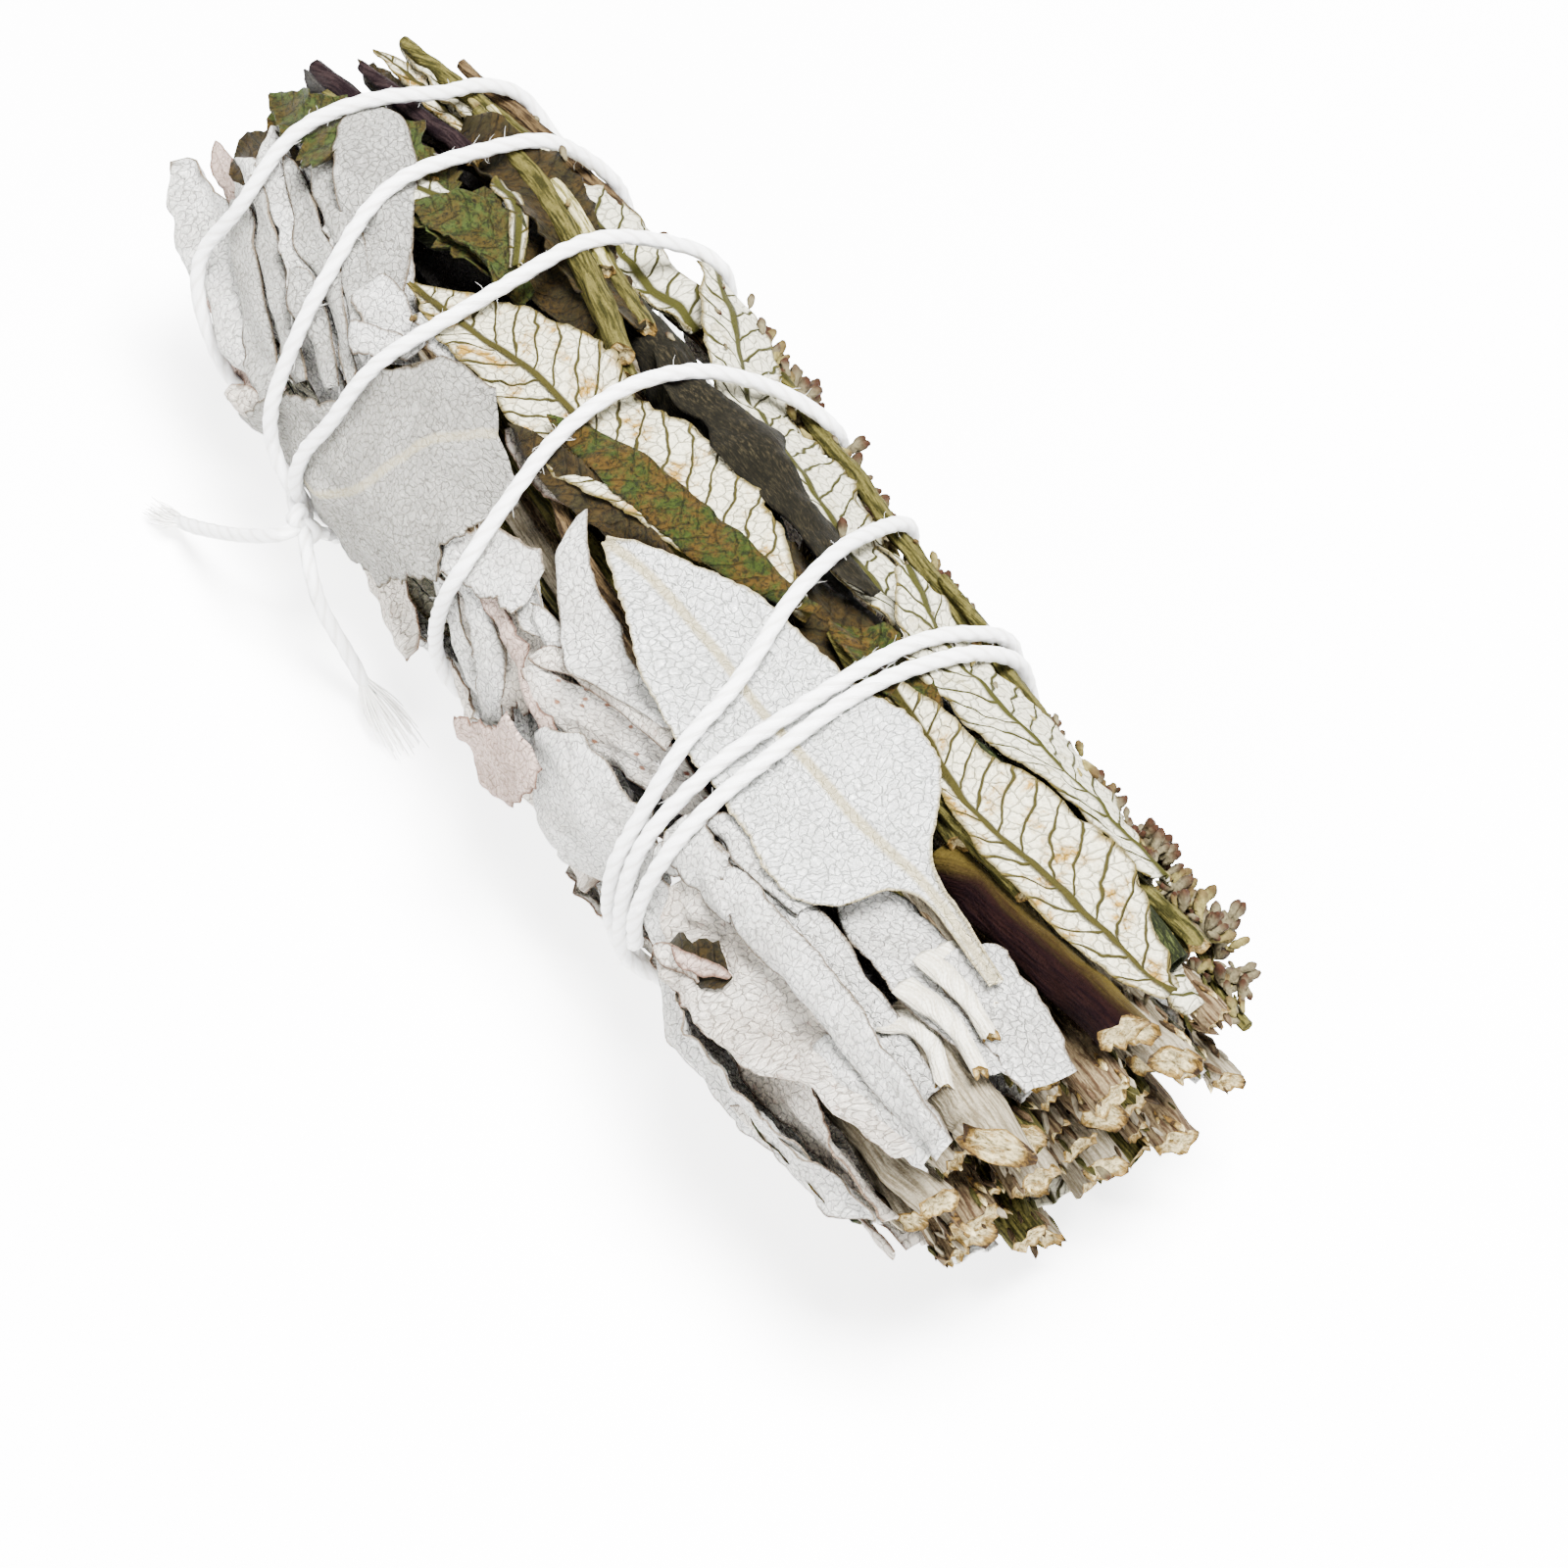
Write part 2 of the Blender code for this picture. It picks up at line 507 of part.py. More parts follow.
def cut_stem(offset, angle, draw, coat, field):
    """A short straight stem end with an oblique cut."""
    sides = 7
    thick = draw.uniform(1.25, 1.75)
    end = draw.uniform(51.5, 57.0)
    spread = offset * CUT_SPREAD
    slope = draw.uniform(-0.5, 0.5)
    points = []
    for x, out in ((CUT_FROM, offset), (CUT_BEND, spread), (end, spread * CUT_END_SPREAD)):
        y = out * math.sin(math.radians(angle))
        z = out * math.cos(math.radians(angle))
        for j in range(sides):
            turn = 2 * math.pi * j / sides
            cut = slope * thick * math.cos(turn) if x == end else 0.0
            points.append((x + cut, y + thick * math.cos(turn), z + thick * math.sin(turn)))
    tris, _ = tube_faces(3, sides)
    field.stamp(np.array(points), tris)
    body, faces = close_tube(np.array(points), tris, 3, sides)
    return new_piece("cut_stem", body, faces, coat)


def lay_spray(name, path, florets, stem_coat, coat, field, draw):
    """A thin stem crowded with small florets, fused in one body."""
    count = 7
    clear = (0.9, SPRAY_REACH, SPRAY_REACH)
    _, _, flat, across, centre = lay_tube(path, clear, clear, field, count, 7)
    stem = np.full(count, SPRAY_STEM_RADIUS)
    points = tube_points(flat, across, centre, stem, stem, 6)
    tris, _ = tube_faces(count, 6)
    body, faces = close_tube(points, tris, count, 6)
    pieces = [new_piece("spray_stem", body, faces, stem_coat)]
    for k in range(florets):
        place = 0.06 + 0.92 * k / (florets - 1)
        step = np.linspace(0, 1, count)
        where = [np.interp(place, step, column) for column in (flat[:, 0], flat[:, 1], centre)]
        turn = FLORET_TURN * k
        size = draw.uniform(0.95, 1.2)
        x = where[0] + draw.uniform(-0.3, 0.3)
        angle = where[1] / ROUND + FLORET_OUT * math.cos(turn) / where[2]
        radius = where[2] + 0.15 + FLORET_OUT * 0.8 * math.sin(turn)
        pieces.append(floret(to_space(x, angle, radius), size, coat))
        stamp_piece(field, pieces[-1])
    return fuse(name, pieces, coat)


def stamp_piece(field, piece):
    """Raise the map to a finished piece."""
    points = np.array([tuple(v.co) for v in piece.data.vertices]) / MM
    points += (MIDDLE[0], MIDDLE[1], -AXIS_HEIGHT)
    field.stamp(points, np.array([tuple(f.vertices) for f in piece.data.polygons]))


def floret(centre, size, coat):
    """A small many-faced bud, longer along the stem."""
    shape = bmesh.new()
    bmesh.ops.create_icosphere(shape, subdivisions=1, radius=size)
    points = [(v.co.x * FLORET_LENGTH + centre[0], v.co.y + centre[1], v.co.z + centre[2]) for v in shape.verts]
    faces = [tuple(v.index for v in f.verts) for f in shape.faces]
    shape.free()
    return new_piece("floret", points, faces, coat)


def sweep(points, radius, sides):
    """Rings of a round tube along points in space."""
    pts = np.array(points)
    way = np.gradient(pts, axis=0)
    way /= np.linalg.norm(way, axis=1)[:, None]
    side = np.cross(way, (1.0, 0.0, 0.0))
    weak = np.linalg.norm(side, axis=1) < 0.35
    side[weak] = np.cross(way[weak], (0.0, 0.0, 1.0))
    side[0] /= np.linalg.norm(side[0])
    for i in range(1, len(pts)):
        flat = side[i - 1] - way[i] * np.dot(side[i - 1], way[i])
        side[i] = flat / np.linalg.norm(flat)
    other = np.cross(way, side)
    turn = 2 * math.pi * (np.arange(sides) + 0.5) / sides
    rings = pts[:, None] + radius * (side[:, None] * np.cos(turn)[None, :, None]
                                     + other[:, None] * np.sin(turn)[None, :, None])
    return rings.reshape(-1, 3)


def string_heights(route, field):
    """Radius of the string's centre all along: taut over the leaves, and over its own earlier turns."""
    x, angle = route[:, 0], np.radians(route[:, 1])
    reach = STRING_RADIUS + GAP
    radius = np.zeros(len(route))
    for i in range(len(route)):
        beside = [(dx, ds) for dx in (-0.55, 0, 0.55) for ds in (-1.5, -0.75, 0, 0.75, 1.5)]
        spots = np.array([to_space(x[i] + dx, angle[i] + ds / ROUND, 1.0) for dx, ds in beside])
        col, row, _ = cells(spots)
        radius[i] = field.top[col, row].max() + reach
        if i > 6:
            stamp_string(field, x[i - 6:i - 4], angle[i - 6:i - 4], radius[i - 6:i - 4] + STRING_RADIUS)
    table = (AXIS_HEIGHT - STRING_RADIUS - 0.06) / np.maximum(-np.cos(angle), 0.5)
    chord = math.cos(STRING_STEP / ROUND)
    for _ in range(12):
        wide = np.pad(radius, 1, mode="edge")
        radius = np.maximum(radius, (wide[:-2] + wide[2:]) / 2 * chord)
    return np.minimum(radius, np.where(np.cos(angle) < -0.5, table, radius))


def stamp_string(field, x, angle, radius):
    """Raise the map over one short run of string."""
    for t in np.linspace(0, 1, 6):
        point = to_space(x[0] + (x[1] - x[0]) * t, angle[0] + (angle[1] - angle[0]) * t, 1.0)
        col, row, _ = cells(point)
        height = radius[0] + (radius[1] - radius[0]) * t
        for i in (-1, 0, 1):
            for j in (-1, 0, 1):
                place = (col + i, (row + j) % ANGLE_CELLS)
                field.top[place] = max(field.top[place], height)


def lay_string(coat, field):
    """The cotton string: seven turns, one knot and two loose ends, in one body."""
    route = string_route(STRING_STEP)
    radius = string_heights(route, field)
    winding = to_space(route[:, 0], np.radians(route[:, 1]), radius)
    knot_x, knot_angle = KNOT
    knot = to_space(knot_x, math.radians(knot_angle), radius[0] + 0.7)
    down = np.array((0, 0, AXIS_HEIGHT))
    first = np.array(TAIL_BACK) - down
    last = np.array(TAIL_FRONT) - down
    start = smooth_curve(np.vstack([first[::-1], knot]), 10)
    finish = smooth_curve(np.vstack([knot, last]), 9)
    pieces = []
    for label, points in (("winding", winding), ("tail_back", start), ("tail_front", finish)):
        sides = 6
        rings = sweep(points, STRING_RADIUS, sides)
        tris, _ = tube_faces(len(points), sides)
        body, faces = close_tube(rings, tris, len(points), sides)
        pieces.append(new_piece(label, body, faces, coat))
    for shift in KNOT_LUMPS:
        pieces.append(floret(knot + np.array(shift), KNOT_LUMP_RADIUS, coat))
    for end in (winding[0], winding[-1]):
        pieces.append(strand(np.array(end), knot, coat))
    return fuse("cotton_string", pieces, coat)


def strand(start, end, coat):
    """A short straight run of string."""
    sides = 6
    points = np.linspace(start, end, 3)
    rings = sweep(points, STRING_RADIUS * 1.05, sides)
    tris, _ = tube_faces(3, sides)
    body, faces = close_tube(rings, tris, 3, sides)
    return new_piece("strand", body, faces, coat)


def lay_leaves(depth, leaves, coats, field):
    """One layer of leaves; a leaf's first word is its plant."""
    for number, (name, *spec) in enumerate(leaves):
        lay_blade(name, spec, coats[name.split("_")[0]], field, depth, 2.4 * number + len(leaves))


def build():
    """Lay the whole bundle from the inside out."""
    for old in list(bpy.data.objects):
        bpy.data.objects.remove(old, do_unlink=True)
    draw = random.Random(SEED)
    sage = material("white_sage", (0.56, 0.55, 0.52), 0.9)
    yerba = material("yerba_santa", (0.52, 0.48, 0.33), 0.8)
    stem = material("stem", (0.30, 0.24, 0.14), 0.7)
    mugwort = material("mugwort", (0.33, 0.24, 0.16), 0.9)
    cotton = material("cotton_string", (0.85, 0.84, 0.80), 0.95)
    coats = {"sage": sage, "yerba": yerba}
    field = HeightMap()
    stem_bunch(stem, field, draw)
    lay_leaves(INNER_DEPTH, INNER_LEAVES, coats, field)
    lay_leaves(OUTER_DEPTH, HIDDEN_LEAVES, coats, field)
    for name, path, radius in STEMS:
        lay_stem(name, path, (radius * 0.8, radius, radius), (radius * 0.8, radius, radius), stem, field)
    for name, path, widths in ROLLS:
        lay_stem(name, path, widths, tuple(w * 0.75 for w in widths), yerba, field)
    for name, path, florets in SPRAYS:
        lay_spray(name, path, florets, stem, mugwort, field, draw)
    lay_leaves(UNDER_DEPTH, UNDER_LEAVES, coats, field)
    lay_leaves(OUTER_DEPTH, SHOWN_LEAVES, coats, field)
    lay_leaves(TOP_DEPTH, TOP_LEAVES, coats, field)
    lay_leaves(REST_DEPTH, RESTING_LEAVES, coats, field)
    lay_string(cotton, field)


build()
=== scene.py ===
"""Dressed sage smudge stick: white sage, yerba santa and mugwort, dried, pressed together, tied with cotton.

A place on the bundle is (x, angle): millimetres along it, leaf tips at -X and cut stems at +X, and degrees
round its axis from the top towards +Y. Pieces are laid from the inside out over a map of what lies below.
"""
import math
import random

import bmesh
import bpy
import numpy as np
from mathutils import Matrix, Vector
from mathutils.bvhtree import BVHTree


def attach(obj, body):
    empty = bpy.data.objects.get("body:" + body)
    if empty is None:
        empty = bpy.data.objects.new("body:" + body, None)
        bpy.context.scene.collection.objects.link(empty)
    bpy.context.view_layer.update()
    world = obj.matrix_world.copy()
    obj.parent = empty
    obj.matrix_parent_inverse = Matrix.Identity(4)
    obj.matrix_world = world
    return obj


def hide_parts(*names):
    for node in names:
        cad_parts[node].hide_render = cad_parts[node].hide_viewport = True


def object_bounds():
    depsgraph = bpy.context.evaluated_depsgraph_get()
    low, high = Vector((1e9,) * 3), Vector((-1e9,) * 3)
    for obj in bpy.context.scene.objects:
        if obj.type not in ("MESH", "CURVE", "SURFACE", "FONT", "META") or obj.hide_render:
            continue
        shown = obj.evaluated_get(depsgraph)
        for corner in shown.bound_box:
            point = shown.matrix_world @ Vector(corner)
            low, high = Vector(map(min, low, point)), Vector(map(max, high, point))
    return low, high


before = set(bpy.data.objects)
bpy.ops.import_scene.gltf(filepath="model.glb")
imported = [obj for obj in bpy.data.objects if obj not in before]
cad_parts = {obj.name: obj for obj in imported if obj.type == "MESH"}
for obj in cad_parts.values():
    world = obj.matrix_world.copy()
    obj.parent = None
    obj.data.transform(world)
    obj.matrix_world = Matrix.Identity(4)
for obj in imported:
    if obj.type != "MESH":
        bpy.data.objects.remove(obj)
cad_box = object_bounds()

MM = 0.001
SEED = 7
# The bundle's axis in the part's frame, in millimetres.
AXIS = np.array((0.957, 2.650, 19.4))
# One turn round the bundle is unrolled as round a drum of this radius.
ROUND = 17.0
# The finished bundle along its length, as (x, radius).
OUTLINE = ((-62, 12.6), (-50, 14.6), (-40, 16.0), (-25, 17.3), (-10, 18.0), (10, 18.2), (25, 18.2),
           (40, 17.2), (56, 16.0))
# A leaf's grid, its thickness, and the gap that it keeps from what lies below.
LEAF_STEP = 0.45
LEAF_THICK = 0.28
LEAF_GAP = 0.05
# A midrib's half width, how far in from its edge a leaf is frilled, and the furthest turn of a curled margin.
RIB_REACH = 0.42
FRINGE_REACH = 0.7
MOST_CURL = 2.6
# The string: its radius, its plies, the length in which a ply goes round once, and how far it presses in.
STRING_RADIUS = 0.6
STRING_PLIES = 3
PLY_PITCH = 6.2
GROOVE_DEPTH = 0.42
GROOVE_REACH = 1.25
# How far out a search for a CAD node's surface starts, and how far in it ends, from the axis.
SEARCH_FROM = 40.0
SEARCH_TO = 6.0
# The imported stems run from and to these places, and the cut stems start here and spread as they run out.
BUNCH_FROM, BUNCH_TO = -50, 44
CUT_FROM, CUT_RUN, CUT_SPREAD = 38, 16, 0.12
# Places worked out between two stops of a curve, points round the yarn, map cells to each side of the
# string that know how far it is, and steps by which a CAD surface is carried on past its edge.
CURVE_SAMPLES = 24
YARN_SIDES = 18
STRING_CELLS = 12
FILL_STEPS = 60
# Loose fibres at a frayed end, and along the whole string.
FRAY_FIBRES = 70
FUZZ_FIBRES = 1500
# The photograph's view: its width and direction in degrees, and the camera's place in metres.
VIEW_WIDTH = 21.0
VIEW_AZIMUTH, VIEW_ELEVATION = 57.6, 57.0
CAMERA_PLACE = (0.163381, -0.090656, 0.283878)
SENSOR = 36.0

# The string's way round the bundle as (angle, x): the angle grows all along, 360 a turn, from knot to knot.
STRING_TURNS = (
    ((-104, -29.5), (-92, -32), (-55, -32.5), (-38, -33), (-22, -34), (0, -35), (28, -34.7), (52, -34),
     (65, -33.4), (120, -34), (180, -36.5), (225, -39)),
    ((-110, -42.5), (-95, -46.5), (-75, -48), (-47, -45.5), (-22, -45), (0, -43.7), (20, -43.5),
     (35, -44.3), (52, -44.3), (65, -42.5), (90, -36), (120, -14), (150, 8), (180, 16), (228, 20)),
    ((-108, 20.5), (-92, 22.6), (-64, 23.6), (-36, 24.1), (-5, 23.8), (22, 23.6), (52, 23.4), (70, 23.5),
     (120, 25), (180, 26), (228, 23.4)),
    ((-108, 21.1), (-78, 21.3), (-40, 21.6), (0, 22.1), (25, 21.6), (46, 21.4), (70, 21), (120, 20),
     (180, 21), (228, 20.2)),
    ((-104, 18.4), (-80, 19.4), (-55, 19.7), (-36, 19.3), (-17, 17.8), (8, 13.9), (30, 11), (48, 9),
     (65, 7.6), (120, 3), (180, -3), (228, -7.5)),
    ((-105, -9), (-87, -8), (-59, -5.6), (-42, -5.6), (-20, -7.4), (2, -8.4), (22, -7.5), (42, -6.5),
     (52, -5), (66, -3), (115, -6), (180, -17), (228, -25)),
    ((-108, -28.2), (-82, -27), (-65, -25.2), (-40, -23.4), (-20, -22), (0, -21.9), (33, -22.4),
     (53, -21.6), (66, -20.6), (120, -21.5), (180, -24.5), (228, -26.4), (250, -25.2)),
)
KNOT = (-26.8, -106)
# The string's two loose ends from the knot to the table, in millimetres above the table.
TAIL_BACK = ((-26.4, -20.3, 14.4), (-30.1, -21.8, 11.0), (-35.8, -22.9, 6.0), (-40.6, -23.6, 2.2),
             (-43.8, -24.6, 0.9))
TAIL_FRONT = ((-23.0, -19.9, 13.0), (-21.4, -20.0, 9.8), (-18.6, -19.3, 5.4), (-15.9, -18.9, 2.3),
              (-12.6, -18.6, 1.0))

# A leaf's outline, as (share of its length from the tip, share of its half width).
PROFILES = {
    "lance": ((0, 0.03), (0.04, 0.3), (0.12, 0.6), (0.25, 0.86), (0.42, 1.0), (0.62, 0.95), (0.8, 0.72),
              (0.93, 0.42), (1, 0.22)),
    "round": ((0, 0.2), (0.03, 0.55), (0.08, 0.8), (0.18, 0.96), (0.35, 1.0), (0.65, 0.95), (0.85, 0.8),
              (1, 0.6)),
    "strip": ((0, 0.3), (0.05, 0.75), (0.15, 0.95), (0.5, 1.0), (0.85, 0.95), (1, 0.8)),
    "torn": ((0, 0.7), (0.05, 0.95), (0.2, 1.0), (0.5, 0.98), (0.8, 0.9), (1, 0.75)),
}
# How a leaf lies, in millimetres: its width and outline, or sections that take their place, each with the
# left edge, the midrib and the right edge; its thickness; its depth under the bundle's outline; the rise of
# its margins; how tightly they curl, in radians per millimetre and under where negative, and over what reach;
# the heights of its crumples, its midrib and its frilled edge; how torn and how scalloped the edge is; the
# step of its grid; its coat; and the most that it is lifted by what lies below.
LOOK = dict(width=8.0, profile="lance", sections=None, thick=LEAF_THICK, depth=2.0, cup=0.0, roll=0.0,
            reach=1.2, crumple=0.14, rib=0.22, fringe=0.16, rag=0.05, scallop=0.0, step=LEAF_STEP,
            coat="sage", most=1.6)


def leaf(name, mid, **look):
    """A leaf in place of a CAD node: its midrib from tip to base, and what differs from LOOK."""
    return dict(LOOK, name=name, mid=mid, **look)


def scrap(mid, **look):
    """A leaf too small or too torn to show a midrib, unless it gives one."""
    return {**LOOK, "mid": mid, "rib": 0.0, **look}


def fold(mid, **look):
    """A white sage leaf folded lengthwise: long and smooth, with both margins tucked under."""
    # The folded coat is a darker copy of the white sage coat: painted shade.
    return scrap(mid, crumple=0.05, fringe=0.04, rag=0.02, thick=0.34, coat="folded", **look)


# Leaves wrapped round the inner stems, coated in painted shade: near black, as they show only as shadow in
# the gaps.
INNER_LEAVES = [
    leaf(f"sage_inner_{k}", mid, width=14.5, step=1.1, coat="shade") for k, mid in enumerate((
        ((-57, 0), (-32, 6), (-7, 2)), ((1, 57), (26, 66), (51, 62)), ((-51, 118), (-26, 126), (-1, 130)),
        ((1, 178), (26, 186), (51, 180)), ((-54, 236), (-29, 246), (-4, 242)),
        ((1, 300), (26, 306), (51, 310))), 1)
]
HIDDEN_LEAVES = [
    leaf("sage_far_1", ((-57, 115), (-36, 122), (-14, 126)), width=17.0, roll=-0.5, crumple=0.25),
    leaf("yerba_far_2", ((-56, 230), (-35, 224), (-14, 219)), width=14.5, roll=0.3, coat="yerba"),
    leaf("sage_far_3", ((-22, 126), (-2, 122), (20, 117)), width=17.0, roll=0.4, crumple=0.25,
         coat="beige"),
    leaf("sage_far_4", ((-24, 216), (-3, 223), (18, 228)), width=17.0, roll=-0.5, crumple=0.25),
    leaf("yerba_far_5", ((6, 119), (29, 123), (50, 120)), width=14.5, roll=-0.4, coat="yerba"),
    leaf("sage_far_6", ((8, 231), (29, 223), (50, 220)), width=17.0, roll=0.3, crumple=0.25, coat="beige"),
]
UNDER_LEAVES = [
    leaf("sage_side_tip", ((-56, 76), (-40, 79), (-20, 82)), width=12.0, roll=0.3, coat="beige"),
    leaf("sage_tip_a", ((-60, -95), (-50, -97), (-38, -104)), width=8.5, roll=0.5, rag=0.12, coat="pink"),
    leaf("sage_tip_b", ((-58, -72), (-48, -80), (-36, -90)), roll=-0.6, rag=0.1),
    leaf("sage_tip_c", ((-50, -45), (-42, -55), (-28, -78)), width=8.5, profile="round", roll=-0.7),
    leaf("sage_tip_d", ((-49, -26), (-41, -33), (-27, -52)), width=7.5, profile="round", roll=-0.7),
    leaf("sage_tip_e", ((-46, -5), (-38, -17), (-25, -42)), width=7.5, profile="round", roll=-0.5, rib=0.1),
    leaf("yerba_tip_a", ((-52, -22), (-44, -14), (-34, -4), (-22, 2)), width=7.5, roll=0.7, rag=0.22,
         coat="dark_green"),
    leaf("yerba_tip_b", ((-54, 36), (-42, 38), (-28, 45), (-16, 50)), roll=0.4, rag=0.1, coat="yerba"),
    leaf("yerba_tip_c", ((-40, 20), (-30, 22), (-14, 19)), width=6.5, roll=0.4, rag=0.1, coat="dark"),
    leaf("sage_left", ((-12, -112), (-24, -101), (-38, -92)), width=10.0, roll=-0.4, coat="beige"),
    leaf("sage_ragged", ((-9, -88), (-3, -74), (3, -58), (5, -44)), width=8.5, roll=-0.7, rag=0.25,
         coat="beige"),
    leaf("sage_under", ((34, -34), (44, -27), (53, -20)), profile="torn", roll=-0.5, crumple=0.2, rib=0.4,
         sections=(
        ((33.5, -29), (34, -27), (34.5, -24)), ((36, -34), (37, -26), (38, -16)),
        ((41, -33), (42, -24), (43, -14.5)), ((46, -31), (47, -23), (48, -15)),
        ((50, -29), (50.5, -23), (52, -17)), ((52.5, -27), (53, -23), (54, -19)))),
    leaf("sage_butt_left", ((34, -74), (44, -76), (53, -82)), width=7.0, roll=0.6, coat="beige"),
    leaf("sage_spotted", ((2, -63), (11, -56), (22, -47)), profile="round", roll=-0.5, crumple=0.2,
         coat="spotted", sections=(
        ((4, -58), (4.3, -56), (5, -53.5)), ((6.5, -62.5), (6.8, -56), (8, -49.5)),
        ((10.5, -63.5), (11, -55), (12, -44)), ((15, -60), (15.5, -51.5), (16.5, -41.5)),
        ((18.5, -57), (19, -49.5), (19.8, -42.5)), ((22.5, -52), (23, -48), (23, -44)))),
    leaf("sage_low_right", ((22, -92), (34, -93), (50, -96)), width=10.5, profile="round", roll=0.4),
]
SHOWN_LEAVES = [
    leaf("sage_low_left", ((0, -100), (10, -92), (24, -88)), profile="round", roll=-0.5, rag=0.06,
         sections=(
        ((7, -74), (7.5, -69), (8.3, -63)), ((7.6, -91), (9.2, -78), (11.5, -58)),
        ((9.3, -102), (12.5, -84), (16.5, -55)), ((14, -99), (17, -84), (20, -57)),
        ((20, -92), (22, -80), (23.5, -64)), ((26, -88), (27, -78), (27.5, -68)))),
    leaf("sage_pink", ((1, -96), (6, -84), (8, -68)), width=6.5, profile="torn", roll=-0.6, rag=0.12,
         coat="pink"),
    leaf("yerba_right", ((-23, 50), (-10, 41), (4, 35), (20, 39)), roll=0.3, coat="yerba", sections=(
        ((-21.5, 55), (-21, 58), (-20.5, 61)), ((-15, 41), (-14, 50), (-12.5, 60)),
        ((-7, 29), (-6, 41), (-4, 54)), ((0, 22), (2, 34), (4, 48)), ((8, 22), (10, 33), (11, 45)),
        ((16, 25), (17, 34), (18, 43)), ((23, 30), (24, 37), (24, 44)))),
    leaf("yerba_main", ((-24, -23), (-15, -14), (-4, -6), (14, 5)), roll=0.25, rib=0.45, coat="stained",
         sections=(
        ((-27.6, -23), (-27.6, -22), (-27.4, -21)), ((-24.5, -24), (-24, -20), (-24, -12)),
        ((-21, -24.5), (-20.5, -17), (-21, -4)), ((-17.6, -23.5), (-17, -13), (-18, 2)),
        ((-13.3, -23), (-13, -10.5), (-14, 6.5)), ((-9.5, -23), (-9, -8.5), (-10, 8.5)),
        ((-5, -21), (-5, -5.5), (-5.5, 10.5)), ((-1, -17), (-1.5, -2), (-1, 13.2)),
        ((3.2, -12), (3, 0.5), (3.5, 14)), ((8, -6), (8, 3), (8, 13)), ((12, 1), (12, 5.5), (12.5, 10)),
        ((15.5, 6), (15.5, 7.5), (15.5, 9)))),
    leaf("yerba_rib", ((-12, 20), (2, 21), (16, 24)), width=6.5, roll=-0.9, reach=2.6, rib=0.0, rag=0.02,
         fringe=0.05, coat="fuzzy"),
    leaf("sage_small_fold", ((0, -41), (8, -36), (17, -36)), roll=-0.9, reach=1.0, rib=0.0, sections=(
        ((-1.2, -25), (-1.1, -22.5), (-1, -20.5)), ((0.2, -35), (1.3, -31), (1.6, -26)),
        ((3.5, -42), (4.5, -35.5), (4.7, -29.5)), ((6.5, -46), (7.5, -38), (8, -31)),
        ((10.5, -44), (11, -38.5), (11, -34)), ((16.5, -38), (16.8, -36), (17, -34.5)))),
    leaf("sage_wrinkled", ((20, -80), (31, -64), (43, -50)), profile="round", roll=-0.7, crumple=0.45,
         rib=0.0, coat="beige", sections=(
        ((24.5, -66), (25, -61), (25.6, -55)), ((26.6, -76), (27.5, -63), (28, -48)),
        ((30.5, -74), (31.5, -60), (32.5, -43)), ((35.5, -72), (36, -58), (37, -42)),
        ((39, -71), (40, -58), (41, -43.5)), ((43, -64), (44, -56), (45, -48.5)),
        ((48, -60), (49, -54.5), (50, -49)), ((52.5, -55), (53, -52.5), (53, -50)))),
    leaf("yerba_shoulder", ((14, 27), (25, 31), (38, 36), (48, 42)), roll=-0.4, rib=0.5, coat="yerba",
         sections=(
        ((15.5, 28), (15.5, 32), (15.7, 36)), ((20, 22), (20, 33), (19.5, 42)),
        ((25, 20), (25, 33), (26, 46)), ((30, 24), (30.5, 36), (31, 57)), ((35, 31), (35.5, 42), (36, 60)),
        ((39, 39), (39.5, 47), (40.5, 57)), ((44, 46), (44.5, 50), (45, 54)))),
    leaf("yerba_butt", ((30, 9), (38, 12), (46, 16), (54, 22)), roll=0.3, rib=0.6, coat="stained",
         sections=(
        ((24.6, 8), (24.7, 10), (24.8, 12)), ((29, 6), (29, 10), (29, 16)), ((34, 3.5), (34, 8), (34, 19)),
        ((38, 3), (38.5, 9), (38.5, 26)), ((43, 5.5), (43, 14), (43, 31)), ((48, 10), (48, 18.5), (48, 32)),
        ((52, 15), (51.6, 22), (51.5, 31)), ((54, 23), (54, 25.5), (53.8, 28)))),
    leaf("sage_long_fold", ((28, -47), (41, -44), (54, -45)), width=4.0, profile="strip", roll=-1.0,
         reach=1.3, cup=0.2, rib=0.0),
]
